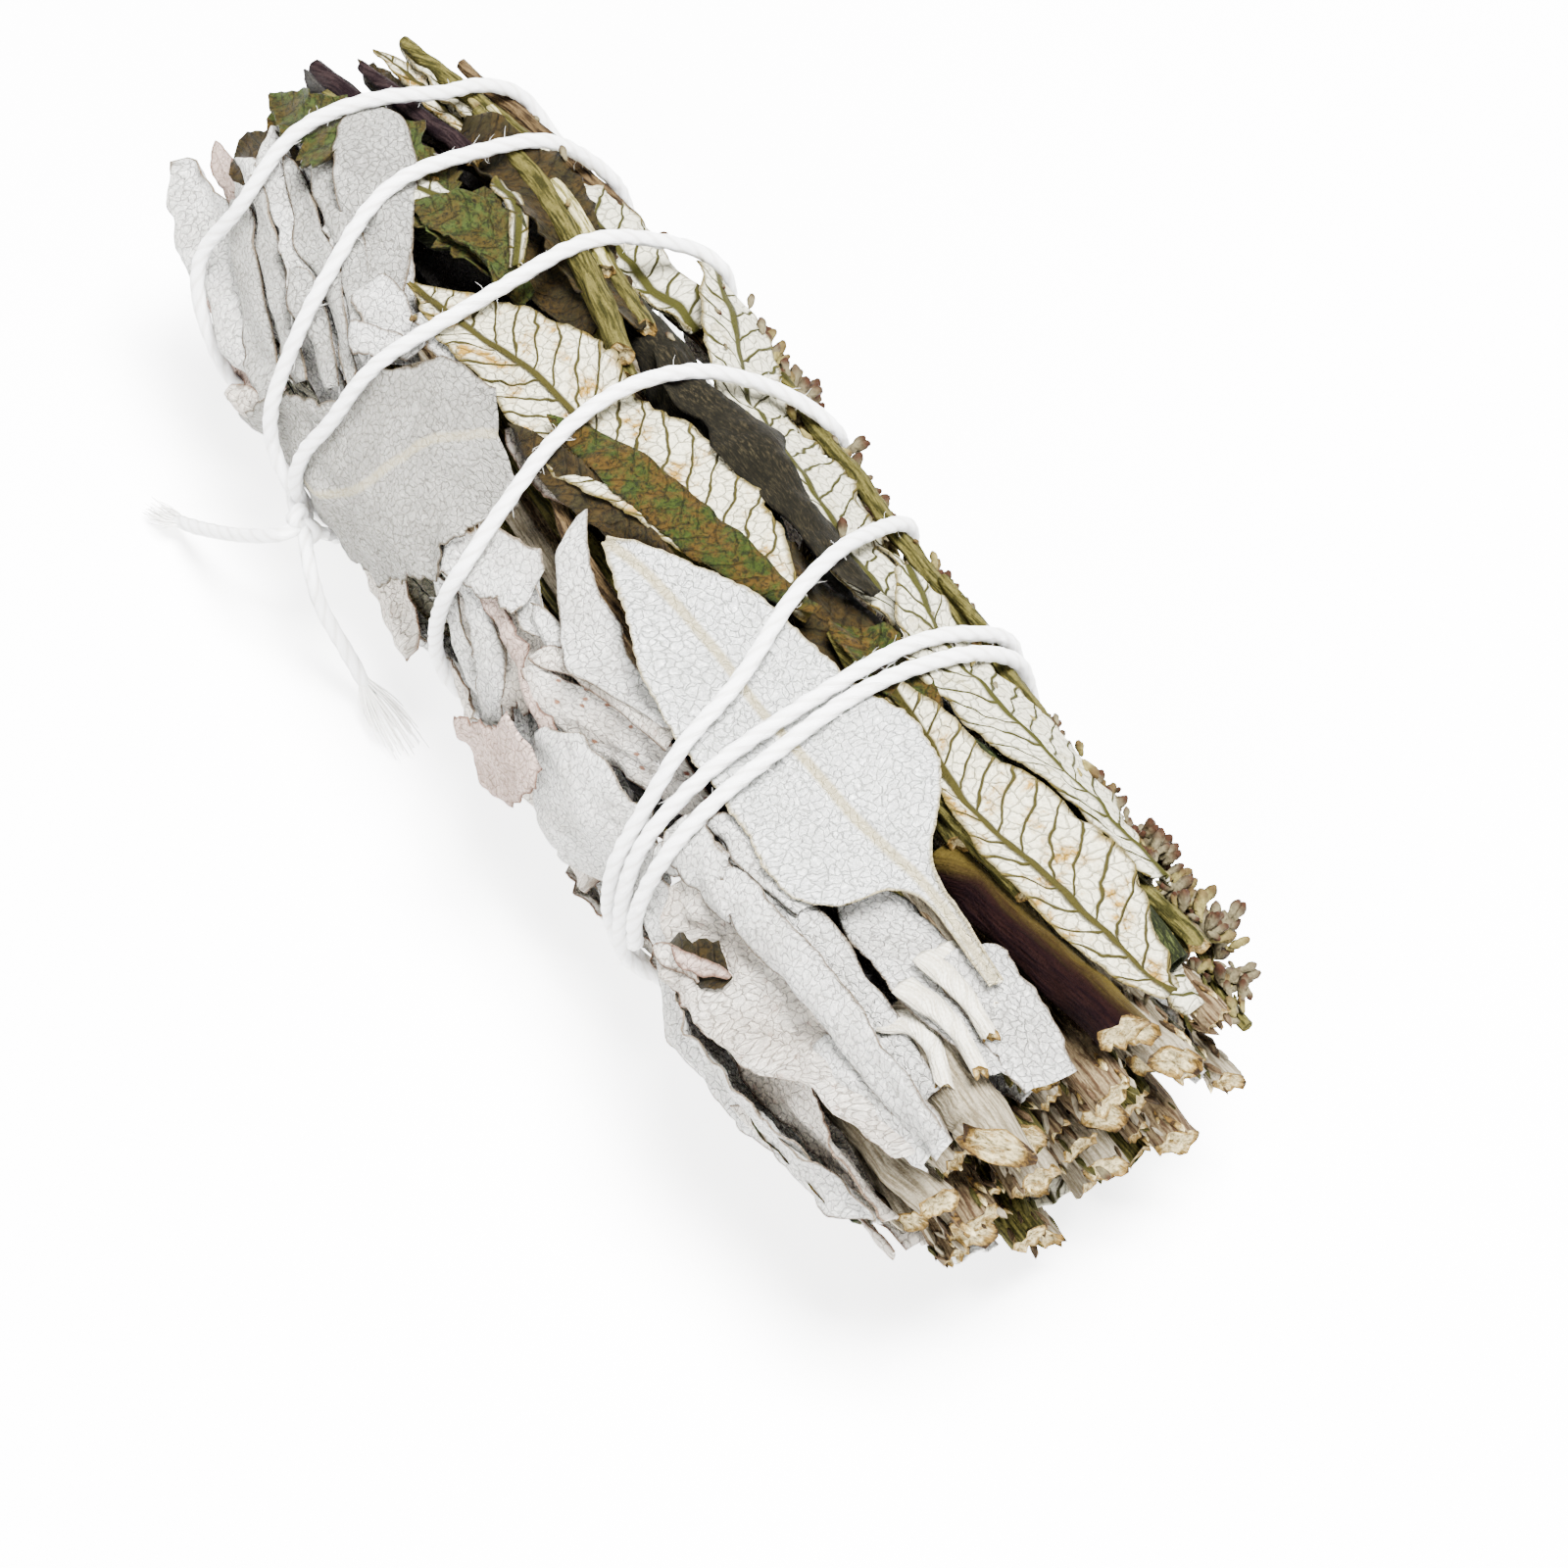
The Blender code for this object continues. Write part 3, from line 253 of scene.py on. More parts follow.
TOP_LEAVES = [
    leaf("sage_broad", ((-11, -27), (-14, -50), (-17, -78), (-21, -106)), crumple=0.16, rib=0.1, rag=0.04,
         scallop=0.1, step=0.4, coat="broad", sections=(
        ((-13.6, -20.5), (-10.9, -27), (-6.1, -34.5)), ((-17.9, -25), (-13, -33), (-6.6, -41)),
        ((-20.8, -32), (-15.5, -42), (-7.6, -51)), ((-24.8, -46), (-17.5, -55), (-8.3, -64)),
        ((-26.5, -60), (-19.5, -70), (-11, -77)), ((-31, -73), (-23, -84), (-14.5, -89)),
        ((-35, -88), (-28, -97), (-20, -101)), ((-37, -100), (-32, -106), (-26, -108)))),
    leaf("sage_central", ((1, -24), (11, -17), (24, -17), (35, -15), (47, -14)), cup=0.25, crumple=0.1,
         rib=0.34, rag=0.0, scallop=0.13, thick=0.42, step=0.36, coat="pale", sections=(
        ((2, -22.6), (2, -22), (2.1, -21.4)), ((4, -24), (4, -20.5), (4, -17)),
        ((6.5, -25.5), (6.5, -19), (6.5, -12.5)), ((9.6, -27.5), (9.6, -18), (9.6, -8)),
        ((12.2, -31), (12.2, -17.5), (12.2, -4)), ((15, -33.5), (15, -17), (15, 0.5)),
        ((20, -37), (20, -17), (20, 3)), ((24, -36.5), (24, -16), (24, 6.5)),
        ((28, -36), (28, -15.5), (28, 8)), ((31.5, -36.5), (31.5, -15), (31.5, 7)),
        ((34.3, -35.5), (34, -14), (34, 3)), ((36.4, -29.5), (36, -13), (36, -2)),
        ((37.6, -19), (37.5, -12), (37.5, -6.5)), ((39.5, -14), (39.5, -11.3), (39.5, -8.6)),
        ((43, -13.2), (43, -11.3), (43, -9.2)), ((48, -14), (48, -12.3), (48, -10.6)))),
]
RESTING_LEAVES = [
    leaf("sage_rest_tip", ((-50, 174), (-36, 179), (-20, 184)), width=12.5, crumple=0.0, rib=0.0,
         fringe=0.0, step=0.6),
    leaf("sage_rest_middle", ((-17, 176), (-2, 180), (14, 184)), width=13.0, crumple=0.0, rib=0.0,
         fringe=0.0, step=0.6, coat="beige"),
    leaf("sage_rest_butt", ((16, 184), (30, 180), (46, 176)), width=13.0, crumple=0.0, rib=0.0, fringe=0.0,
         step=0.6),
]
# Torn leaf ends that fill the tip, darker towards the axis: the deepest are coated in painted shade.
TIP_HEART = [
    scrap(((-57.5 + 2 * (k % 3), 30 * k), (-49, 30 * k + 8), (-38, 30 * k + 14)), width=8.5, roll=0.5,
          depth=6.5 - 1.6 * (k % 3), crumple=0.3, rib=0.22, rag=0.16, step=0.6,
          coat=("shade", "dark", "green")[k % 3]) for k in range(12)
] + [
    scrap(((-56 + 1.5 * (k % 2), 72 * k + 20), (-48, 72 * k + 30), (-40, 72 * k + 34)), width=6.0, roll=0.6,
          depth=10.0, crumple=0.3, rib=0.22, rag=0.14, step=0.6, coat=("dark", "shade")[k % 2])
    for k in range(5)
]
# Narrow leaves at the tip: a dark curl, strips from olive to green on the right, and a pink one.
TIP_SCRAPS = [
    scrap(((-50.5, -46), (-47.5, -36), (-45, -27)), width=5.6, roll=0.7, depth=0.4, rib=0.22, rag=0.1,
          coat="dark"),
    scrap(((-47, 1), (-42, 2), (-34, 0)), width=3.2, profile="strip", roll=-0.9, depth=1.8, rib=0.22,
          coat="green"),
    scrap(((-53, 14), (-44, 17), (-35, 20)), width=4.0, roll=-0.8, depth=2.2, rib=0.22, rag=0.12,
          coat="dark"),
    scrap(((-54, 24), (-45, 28), (-36, 30)), width=4.2, roll=0.7, rib=0.22, rag=0.12, coat="stained"),
    scrap(((-55, 44), (-46, 46), (-34, 50)), width=5.0, roll=-0.6, depth=1.8, rib=0.22, rag=0.1,
          coat="beige"),
    scrap(((-51, 55), (-42, 60), (-30, 66)), width=5.0, roll=0.5, rib=0.22, rag=0.1, coat="green"),
    scrap(((-56, -55), (-50, -60), (-42, -66)), width=5.0, roll=0.6, depth=2.4, rib=0.22, rag=0.14,
          coat="pink"),
]
# Folded leaves side by side at the tip.
TIP_FOLDS = [
    fold(((-44.2, -3), (-39, -9), (-33, -21), (-26.5, -38)), width=6.2, profile="round", roll=-0.5,
         depth=0.0, cup=-0.1, most=3.0),
    fold(((-43.5, -21), (-36.5, -27), (-31.5, -33), (-26.5, -43)), width=3.3, profile="round", roll=-1.1,
         depth=0.6),
    fold(((-46, -29), (-39, -36), (-32, -42), (-25.5, -54)), width=3.6, roll=-1.1, depth=0.8),
    fold(((-47, -42), (-41, -54), (-37, -62), (-32, -73)), width=3.8, profile="round", roll=-1.0,
         depth=0.8),
    fold(((-48.5, -55), (-44, -66), (-40, -76), (-34, -88)), width=5.4, profile="round", roll=-0.7,
         depth=0.9),
    fold(((-37, -46), (-33, -52), (-28, -62)), width=3.0, profile="strip", roll=-1.1, depth=1.0),
]
# Chips of leaf above the broad leaf, and a pale tip and a hollow curl beside them.
CHIPS = [
    scrap(((-30, -31), (-26, -31), (-22.5, -31)), width=3.6, profile="torn", depth=0.3, rag=0.12),
    scrap(((-27.5, -42), (-25.5, -38), (-23.5, -35)), width=2.8, profile="torn", depth=0.4, rag=0.2),
    scrap(((-24.5, -22), (-22, -23), (-18.5, -26)), width=3.2, profile="torn", depth=0.3, rag=0.18),
    scrap(((-37.5, -9), (-33.2, -4), (-29, 3)), width=3.4, roll=-0.7, depth=0.6, rib=0.1, coat="yerba"),
    scrap(((-33, -9), (-29, -1), (-25.5, 2), (-22.5, -4)), width=4.6, roll=0.8, reach=1.6, depth=0.6,
          rag=0.12, coat="dark_green"),
    scrap(((-32, 12), (-28.4, 11), (-25.7, 7), (-23.5, 2)), width=1.5, profile="strip", roll=-1.2,
          depth=0.2, coat="yerba"),
]
# Small leaves, curls and torn strips to the left of the central leaf.
MIDDLE_SCRAPS = [
    scrap(((-13, -26), (-8, -22), (-1, -17)), width=4.4, depth=2.8, rib=0.3, coat="beige"),
    scrap(((-10, -70), (-4, -83), (0, -94)), width=3.6, roll=-0.9, depth=1.6),
    scrap(((-8, -60), (-2.5, -66), (0, -74), (1, -92)), width=3.6, profile="strip", roll=-0.8, depth=1.0),
    scrap(((-1.5, -41), (0.5, -47), (3, -50)), width=3.4, roll=0.9, reach=1.6, depth=1.2),
    scrap(((1, -46), (3.5, -48), (6.5, -48)), width=2.6, roll=-0.9, reach=1.3, depth=0.8),
    scrap(((-4.5, -56), (0, -57), (4, -61), (9, -65)), width=2.4, profile="strip", roll=-1.0, depth=0.5,
          rag=0.2, coat="pink"),
    scrap(((4, -53), (7, -47), (11, -42.5), (17.5, -38.5)), width=2.2, profile="strip", roll=-0.9,
          depth=0.4, coat="beige"),
    scrap(((-3, -103), (1, -96), (4, -84)), width=4.0, roll=0.6, depth=1.0, rib=0.22, rag=0.15),
    scrap(((14, -112), (4, -108), (-8, -106)), width=9.0, roll=-0.4, depth=1.6, rib=0.22, coat="beige"),
    scrap(((0.4, -43), (-3, -46), (-8.5, -57)), width=4.6, profile="torn", roll=0.3, depth=0.1, rag=0.16),
]
# Leaves with their green upper side out, between the two veined ones.
GREEN_SIDE = [
    scrap(((-10, -15), (-4.5, -9.5), (1, -6), (6.5, -2.5), (12, 3), (16, 8)), width=3.9, roll=-0.8,
          reach=0.9, depth=0.2, rib=0.1, coat="green"),
    scrap(((-12, -24), (-6, -21), (0, -17), (6, -12)), width=3.2, roll=0.6, depth=2.4, rib=0.22,
          coat="dark"),
    scrap(((16, 12), (22, 16), (29, 14)), width=4.5, roll=0.6, depth=2.2, rib=0.22, coat="green"),
]
# Leaves that fill the right side and the hollows beside it.
RIGHT_SCRAPS = [
    scrap(((-20, 66), (-8, 56), (4, 52), (14, 50)), width=4.6, roll=0.4, depth=1.7, rib=0.22, coat="yerba"),
    scrap(((12, 50), (22, 52), (33, 60)), width=4.6, roll=-0.5, depth=1.9, rib=0.22, coat="yerba"),
    scrap(((-34, 12), (-26, 14), (-16, 12)), width=5.5, roll=0.4, depth=3.2, rib=0.22, coat="dark"),
    scrap(((8, 14), (16, 16), (26, 12)), width=6.5, roll=0.4, depth=3.2, rib=0.22, coat="dark"),
    scrap(((-26, 84), (-10, 88), (6, 92)), width=7.0, roll=-0.4, rib=0.22, coat="beige"),
    scrap(((-6, 104), (14, 104), (40, 100)), roll=-0.4, rib=0.22, coat="yerba"),
]
# At the butt: folds and rolls by the string, rolled edges low down, torn ends, and a hole drawn as a dark
# sheet of painted shade, with its curls.
BUTT_SCRAPS = [
    scrap(((24, -43), (31, -40), (40, -38.5), (51, -40.5)), width=3.2, profile="strip", roll=-1.0,
          depth=0.9),
    # A strip of painted shade, deep in the gap beside the long folded leaf.
    scrap(((24, -37.5), (32, -36.5), (44, -36)), width=3.4, roll=0.3, depth=4.4, coat="shade"),
    scrap(((24.5, -43), (27, -38.5), (30.5, -37.5), (35, -36)), width=2.5, profile="round", roll=-1.2,
          reach=1.0, depth=0.2),
    scrap(((22.5, -62), (25, -52), (28.5, -44)), width=3.2, profile="round", roll=-0.9, reach=1.1,
          depth=0.4),
    scrap(((22, -52), (26, -50), (31, -50)), width=4.4, profile="round", roll=-0.5, depth=0.6),
    scrap(((38, -98), (45, -95), (51, -90)), width=4.2, roll=0.9, depth=0.6, coat="green"),
    scrap(((40, -86), (46, -86), (53, -80)), width=3.8, roll=0.9, depth=0.4),
    scrap(((36, -106), (44, -106), (53, -104)), width=5.0, roll=-0.9, depth=0.8, coat="beige"),
    scrap(((42, -56), (48, -54), (54, -52)), width=3.6, profile="torn", roll=-0.9, depth=0.9),
    scrap(((44, -47), (49, -46), (54.5, -46)), width=3.0, profile="torn", roll=-0.9, depth=0.8),
    scrap(((44, -13), (50, -13), (55, -15)), width=5.6, profile="torn", roll=-0.3, depth=1.6, rib=0.1,
          rag=0.08),
    # A thin dark sheet of painted shade laid over the wrinkled leaf, standing for the hollow of a hole.
    scrap(((28, -69.5), (30.8, -66), (34, -62)), width=2.6, depth=-0.2, rag=0.3, fringe=0.0, thick=0.12,
          coat="dark"),
    scrap(((27.5, -71), (29.5, -68), (32.5, -66)), width=1.5, roll=0.9, depth=-0.4, rag=0.25, coat="beige"),
    scrap(((29, -66), (31.5, -64), (34, -60.5)), width=1.1, roll=0.9, depth=-0.5, rag=0.25, coat="pink"),
]
# Torn leaves between the cut stems.
BUTT_HEART = [
    scrap(((36, 40 * k + 12), (46, 40 * k + 16), (51.5 + 1.0 * (k % 3), 40 * k + 20)), width=7.0,
          profile="torn", roll=0.5 * (-1) ** k, depth=6.0 - 1.5 * (k % 2), crumple=0.3, rib=0.22, rag=0.12,
          step=0.6, coat=("beige", "yerba", "sage")[k % 3]) for k in range(9)
]
# Laid stems as (name, path, radius, coat), from the tip end to the cut end.
STEMS = (
    ("stem_purple_tip", ((-54, -2), (-44, 4), (-37, 10)), 0.95, "purple"),
    ("stem_olive_long", ((-38, 29), (-24, 20), (-11, 11)), 0.95, "olive"),
    ("stem_dark_twig", ((-34, 53), (-20, 58), (-6, 60)), 0.9, "twig"),
    ("stem_mottled", ((-6, -25), (0, -30), (10, -31)), 0.7, "twig"),
    ("stem_sage_thick", ((34, -82), (44, -74), (55, -68)), 1.5, "felted"),
    ("stem_sage_oblique", ((44, -34), (51, -36), (56, -38)), 2.1, "felted"),
    # Its coat has a painted highlight along one side.
    ("stem_olive_butt", ((36, 0), (46, 4), (55, 8)), 1.8, "painted_highlight_stem"),
)
# Twigs and leaf stalks as (path, radius, coat, depth under the bundle's outline).
TWIGS = (
    (((-51, 10), (-44, 13), (-36, 15)), 0.8, "purple", 1.6),
    (((-53, 32), (-46, 35), (-37, 40)), 0.9, "olive", 1.8),
    (((-50, 48), (-42, 52), (-30, 55)), 0.75, "twig", 1.6),
    (((-49, -8), (-43, -3), (-35, -1)), 0.8, "olive", 1.6),
    (((-36, 34), (-26, 29), (-14, 22)), 0.75, "olive", 1.8),
    (((-33, 63), (-29, 63), (-22, 66)), 0.7, "twig", 1.2),
    (((17, 11), (27, 8), (37, 3)), 0.9, "olive", 2.2),
    (((30, 2), (36, 4), (43, 8)), 0.7, "olive", 1.4),
    (((44.6, -38.5), (46.3, -33), (48.4, -32.5), (51.2, -36.5)), 0.65, "petiole", 1.0),
    (((44, -29), (48.5, -25.5), (52.5, -27)), 0.6, "petiole", 0.3),
    (((43, -21), (47, -19.5), (50.8, -20.5)), 0.6, "petiole", 0.4),
    (((43, -16.5), (46, -15), (49, -15)), 0.55, "petiole", 0.1),
    (((-14, 62), (4, 58), (20, 57)), 0.7, "olive", 1.4),
    (((14, 55), (30, 54), (50, 52)), 0.8, "olive", 1.2),
    (((-41, 27), (-31, 24.5), (-22, 18), (-12, 10)), 1.0, "olive", 0.8),
    (((-41, 31), (-30, 28.5), (-20, 21.5)), 0.7, "petiole_olive", 0.9),
)
# Rolled leaves as (name, path, half widths along it, coat).
ROLLS = (
    ("yerba_rolled_dark", ((-20, 32), (-11, 27), (0, 19), (14, 10)), (1.0, 2.3, 1.6, 0.9), "fuzzy"),
    ("yerba_rolled_green", ((25, 17), (33, 27), (41, 40), (50, 48)), (0.9, 1.4, 1.5, 1.0), "fuzzy_green"),
    ("yerba_curled_tip", ((-38, -12), (-33, -3), (-27, 9)), (0.8, 1.9, 0.9), "fuzzy_green"),
)
# Sprays as (name, path, number of side stalks).
SPRAYS = (
    ("mugwort_spray_a", ((-14, 71), (-2, 69), (12, 67)), 44),
    ("mugwort_spray_b", ((4, 82), (16, 84), (30, 86)), 46),
    ("mugwort_spray_c", ((18, 67), (34, 66), (48, 64)), 52),
    ("mugwort_spray_d", ((34, 83), (44, 81), (54, 79)), 40),
)
# Cut stems at the butt: (distance from the axis, angle, radius, where the cut is, its slope, coat).
CUT_STEMS = (
    (0.0, 0, 1.6, 54.5, 0.3, "felted"), (4.6, 10, 1.5, 55.5, -0.4, "brown"),
    (4.6, 82, 1.4, 54.0, 0.5, "olive"), (4.6, 154, 1.6, 55.0, -0.2, "felted"),
    (4.6, 226, 1.4, 53.5, 0.4, "brown"), (4.6, 298, 1.5, 56.0, 0.1, "felted"),
    (8.8, 4, 1.7, 56.6, 0.5, "brown"), (8.8, 44, 1.6, 55.4, -0.5, "felted"),
    (8.8, 84, 1.4, 54.0, 0.3, "olive"), (8.8, 124, 1.6, 55.6, -0.1, "brown"),
    (8.8, 164, 1.7, 53.4, 0.5, "felted"), (8.8, 204, 1.5, 55.0, 0.2, "olive"),
    (8.8, 244, 1.7, 54.2, -0.4, "felted"), (8.8, 284, 1.5, 56.4, 0.4, "brown"),
    (8.8, 324, 1.7, 55.2, -0.3, "olive"), (2.4, 330, 1.0, 53.6, 0.6, "brown"),
    (6.6, 60, 1.1, 53.0, -0.6, "felted"), (6.7, 128, 1.0, 53.8, 0.4, "brown"),
    (6.5, 200, 1.1, 52.8, -0.4, "felted"), (6.7, 268, 1.0, 54.0, 0.3, "olive"),
    (6.8, 345, 1.1, 53.2, 0.6, "felted"), (11.6, 18, 1.3, 54.4, -0.4, "felted"),
    (11.8, 62, 1.2, 53.8, 0.4, "brown"), (12.0, 102, 1.1, 54.6, -0.3, "felted"),
    (11.7, 146, 1.2, 53.0, 0.5, "olive"), (11.8, 188, 1.1, 54.0, -0.5, "felted"),
    (11.6, 228, 1.2, 53.4, 0.3, "brown"), (11.8, 268, 1.1, 52.8, -0.3, "felted"),
    (11.7, 306, 1.3, 54.0, 0.5, "felted"), (11.4, 342, 1.3, 53.6, -0.5, "brown"),
)


def outline_radius(x):
    """Radius of the finished bundle at x."""
    return np.interp(x, [p[0] for p in OUTLINE], [p[1] for p in OUTLINE])


def smooth_curve(points, count, measured=None):
    """Evenly spaced places on a smooth curve; the measured columns say how far along a place is."""
    pts = np.array(points, dtype=float)
    ends = np.vstack([2 * pts[0] - pts[1], pts, 2 * pts[-1] - pts[-2]])
    t = np.linspace(0, 1, CURVE_SAMPLES, endpoint=False)[:, None]
    dense = []
    for i in range(len(pts) - 1):
        a, b, c, d = ends[i:i + 4]
        dense.append(0.5 * (2 * b + (c - a) * t + (2 * a - 5 * b + 4 * c - d) * t ** 2
                            + (3 * b - a - 3 * c + d) * t ** 3))
    dense = np.vstack(dense + [pts[-1:]])
    steps = np.diff(dense if measured is None else dense[:, measured], axis=0)
    run = np.concatenate([[0], np.cumsum(np.linalg.norm(steps, axis=1))])
    wanted = np.linspace(0, run[-1], count)
    return np.column_stack([np.interp(wanted, run, dense[:, k]) for k in range(dense.shape[1])])


def unroll(places):
    """(x, angle) places as (x, millimetres round the drum)."""
    return [(x, math.radians(angle) * ROUND) for x, angle in places]


def path_length(points):
    """Length of a line through the points."""
    return float(np.linalg.norm(np.diff(np.array(points), axis=0), axis=1).sum())


def to_space(x, angle, radius):
    """Place (x, angle in radians, radius) as a point in millimetres about the axis."""
    return np.stack([x, radius * np.sin(angle), radius * np.cos(angle)], axis=-1)


def from_space(points):
    """Point in millimetres about the axis as (x, angle in radians, radius)."""
    x, y, z = points[..., 0], points[..., 1], points[..., 2]
    return x, np.arctan2(y, z), np.hypot(y, z)


def ripple(u, v, size, seed):
    """Random smooth relief from about -1 to 1: seven waves, their bumps about size millimetres across."""
    draw = random.Random(seed)
    total = 0.0
    for _ in range(7):
        turn = draw.uniform(0, math.tau)
        pace = math.tau / size * draw.uniform(0.55, 1.5)
        total = total + np.sin(pace * (u * math.cos(turn) + v * math.sin(turn)) + draw.uniform(0, math.tau))
    return np.clip(total / 2.6, -1.5, 1.5)


def blur(grid, times):
    """Each value moved to the mean of itself and its neighbours."""
    for _ in range(times):
        wide = np.pad(grid, 1, mode="edge")
        grid = (wide[:-2, 1:-1] + wide[2:, 1:-1] + wide[1:-1, :-2] + wide[1:-1, 2:] + 2 * grid) / 6
    return grid


class Bed:
    """A map of the outermost radius laid so far, with how far each spot is from the string."""

    start, end, step, turn_step = -66.0, 66.0, 0.25, 0.75

    def __init__(self):
        self.columns, self.rows = int((self.end - self.start) / self.step), int(360 / self.turn_step)
        self.top = np.zeros((self.columns, self.rows))
        self.string_gap = np.full((self.columns, self.rows), 99.0)
        route = string_route(0.5)
        col, row = self.cells(route[:, 0], np.radians(route[:, 1]))
        nearby = range(-STRING_CELLS, STRING_CELLS + 1)
        for i in nearby:
            for j in nearby:
                gap = math.hypot(i * self.step, math.radians(j * self.turn_step) * ROUND)
                spot = (np.clip(col + i, 0, self.columns - 1), (row + j) % self.rows)
                np.minimum.at(self.string_gap, spot, gap)

    def cells(self, x, angle):
        """The map's column and row at some places."""
        col = np.clip(((x - self.start) / self.step).astype(int), 1, self.columns - 2)
        return col, (np.degrees(angle) % 360 / self.turn_step).astype(int) % self.rows

    def at(self, x, angle):
        """Radius laid so far at some places."""
        return self.top[self.cells(x, angle)]

    def groove(self, x, angle):
        """Depth that the tied string presses in at some places."""
        return GROOVE_DEPTH * np.exp(-(self.string_gap[self.cells(x, angle)] / GROOVE_REACH) ** 2)

    def stamp(self, points):
        """Raise the map to a grid of points."""
        finer = self.doubled(self.doubled(points).swapaxes(0, 1)).swapaxes(0, 1)
        x, angle, radius = from_space(finer)
        col, row = self.cells(x, angle)
        for i in (-1, 0, 1):
            for j in (-1, 0, 1):
                np.maximum.at(self.top, (col + i, (row + j) % self.rows), radius)

    @staticmethod
    def doubled(points):
        """The grid with a row added between every two."""
        made = np.empty((2 * len(points) - 1,) + points.shape[1:])
        made[::2] = points
        made[1::2] = (points[:-1] + points[1:]) / 2
        return made


def string_route(spacing):
    """Places (x, angle in degrees) along the whole winding of the string, from knot to knot."""
    points = []
    for turn, stops in enumerate(STRING_TURNS):
        points += unroll((x, angle + 360 * turn) for angle, x in stops)
    rough = smooth_curve(points, 2000)
    even = smooth_curve(points, int(path_length(rough) / spacing))
    return np.column_stack([even[:, 0], np.degrees(even[:, 1] / ROUND)])


class Piece:
    """Grids and caps gathered for one mesh, with each point's place on its leaf or stem in millimetres."""

    def __init__(self):
        self.points, self.faces, self.uv, self.margin, self.coats = [], [], [], [], []
        self.count = 0

    def add(self, points, faces, uv, margin, coat=0):
        """Some points with faces that use them, counted from zero."""
        self.points.append(points.reshape(-1, 3))
        self.uv.append(uv.reshape(-1, 2))
        self.margin.append(np.asarray(margin, float).ravel())
        self.faces += [tuple(int(v) + self.count for v in face) for face in faces]
        self.coats += [coat] * len(faces)
        self.count += points.reshape(-1, 3).shape[0]

    def build(self, name, coats, nodes=(), smooth=True):
        """The finished piece, riding on the body, in place of its CAD nodes."""
        mesh = bpy.data.meshes.new(name)
        points = (np.vstack(self.points) + AXIS) * MM
        mesh.from_pydata(points.tolist(), [], self.faces)
        mesh.polygons.foreach_set("material_index", self.coats)
        mesh.polygons.foreach_set("use_smooth", [smooth] * len(self.faces))
        corners = np.empty(len(mesh.loops), dtype=int)
        mesh.loops.foreach_get("vertex_index", corners)
        mesh.uv_layers.new(name="place").data.foreach_set("uv", np.vstack(self.uv)[corners].ravel())
        mesh.attributes.new("margin", "FLOAT", "POINT").data.foreach_set("value", np.concatenate(self.margin))
        for coat in coats:
            mesh.materials.append(COATS[coat])
        mesh.update()
        made = bpy.data.objects.new(name, mesh)
        bpy.context.scene.collection.objects.link(made)
        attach(made, "root")
        if nodes:
            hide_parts(*nodes)
        return made


def grid_faces(rows, columns, closed=False):
    """Quads of a grid of points; closed joins the last column to the first."""
    i, j = np.meshgrid(np.arange(rows - 1), np.arange(columns if closed else columns - 1), indexing="ij")
    following = (j + 1) % columns
    quads = np.stack([i * columns + j, (i + 1) * columns + j, (i + 1) * columns + following,
                      i * columns + following], axis=-1)
    return quads.reshape(-1, 4)


def surface_tree(node):
    """A search tree of a CAD node's surface, in millimetres about the axis."""
    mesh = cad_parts[node].data
    points = [Vector(v.co / MM) - Vector(AXIS) for v in mesh.vertices]
    return BVHTree.FromPolygons(points, [tuple(f.vertices) for f in mesh.polygons])


def node_radius(node, x, angle):
    """Outermost radius of a CAD node over a grid of places, carried on smoothly past its edge."""
    tree = surface_tree(node)
    start = to_space(x, angle, np.full(x.shape, SEARCH_FROM))
    way = to_space(np.zeros(x.shape), angle, np.full(x.shape, -1.0))
    found = np.zeros(x.shape)
    for spot in np.ndindex(x.shape):
        hit = tree.ray_cast(Vector(start[spot]), Vector(way[spot]), SEARCH_FROM - SEARCH_TO)[0]
        if hit is not None:
            found[spot] = math.hypot(hit.y, hit.z)
    weight = (found > 0).astype(float)
    if not weight.any():
        return outline_radius(x)
    total = found.copy()
    for _ in range(FILL_STEPS):
        if weight.min() > 0:
            break
        wide = np.pad(total * (weight > 0), 1, mode="edge")
        known = np.pad((weight > 0) * 1.0, 1, mode="edge")
        near = wide[:-2, 1:-1] + wide[2:, 1:-1] + wide[1:-1, :-2] + wide[1:-1, 2:]
        held = known[:-2, 1:-1] + known[2:, 1:-1] + known[1:-1, :-2] + known[1:-1, 2:]
        fill = (weight <= 0) & (held > 0)
        total[fill] = near[fill] / held[fill]
        weight[fill] = 1.0
    return total


def leaf_frame(form):
    """Rows of a leaf's left edge, midrib and right edge on the unrolled bundle, tip first."""
    if form["sections"]:
        stations = [sum((tuple(unroll([place])[0]) for place in row), ()) for row in form["sections"]]
        length = path_length([row[2:4] for row in stations])
        rows = max(8, int(length / form["step"]))
        lines = smooth_curve(stations, rows, measured=slice(2, 4))
        return lines[:, 0:2], lines[:, 2:4], lines[:, 4:6], length
    mid_points = unroll(form["mid"])
    length = path_length(smooth_curve(mid_points, 30))
    rows = max(8, int(length / form["step"]))
    mid = smooth_curve(mid_points, rows)
    way = np.gradient(mid, axis=0)
    way /= np.linalg.norm(way, axis=1)[:, None]
    across = np.column_stack([-way[:, 1], way[:, 0]])
    profile = np.array(PROFILES[form["profile"]])
    half = form["width"] / 2 * np.interp(np.linspace(0, 1, rows), profile[:, 0], profile[:, 1])
    return mid - across * half[:, None], mid, mid + across * half[:, None], length


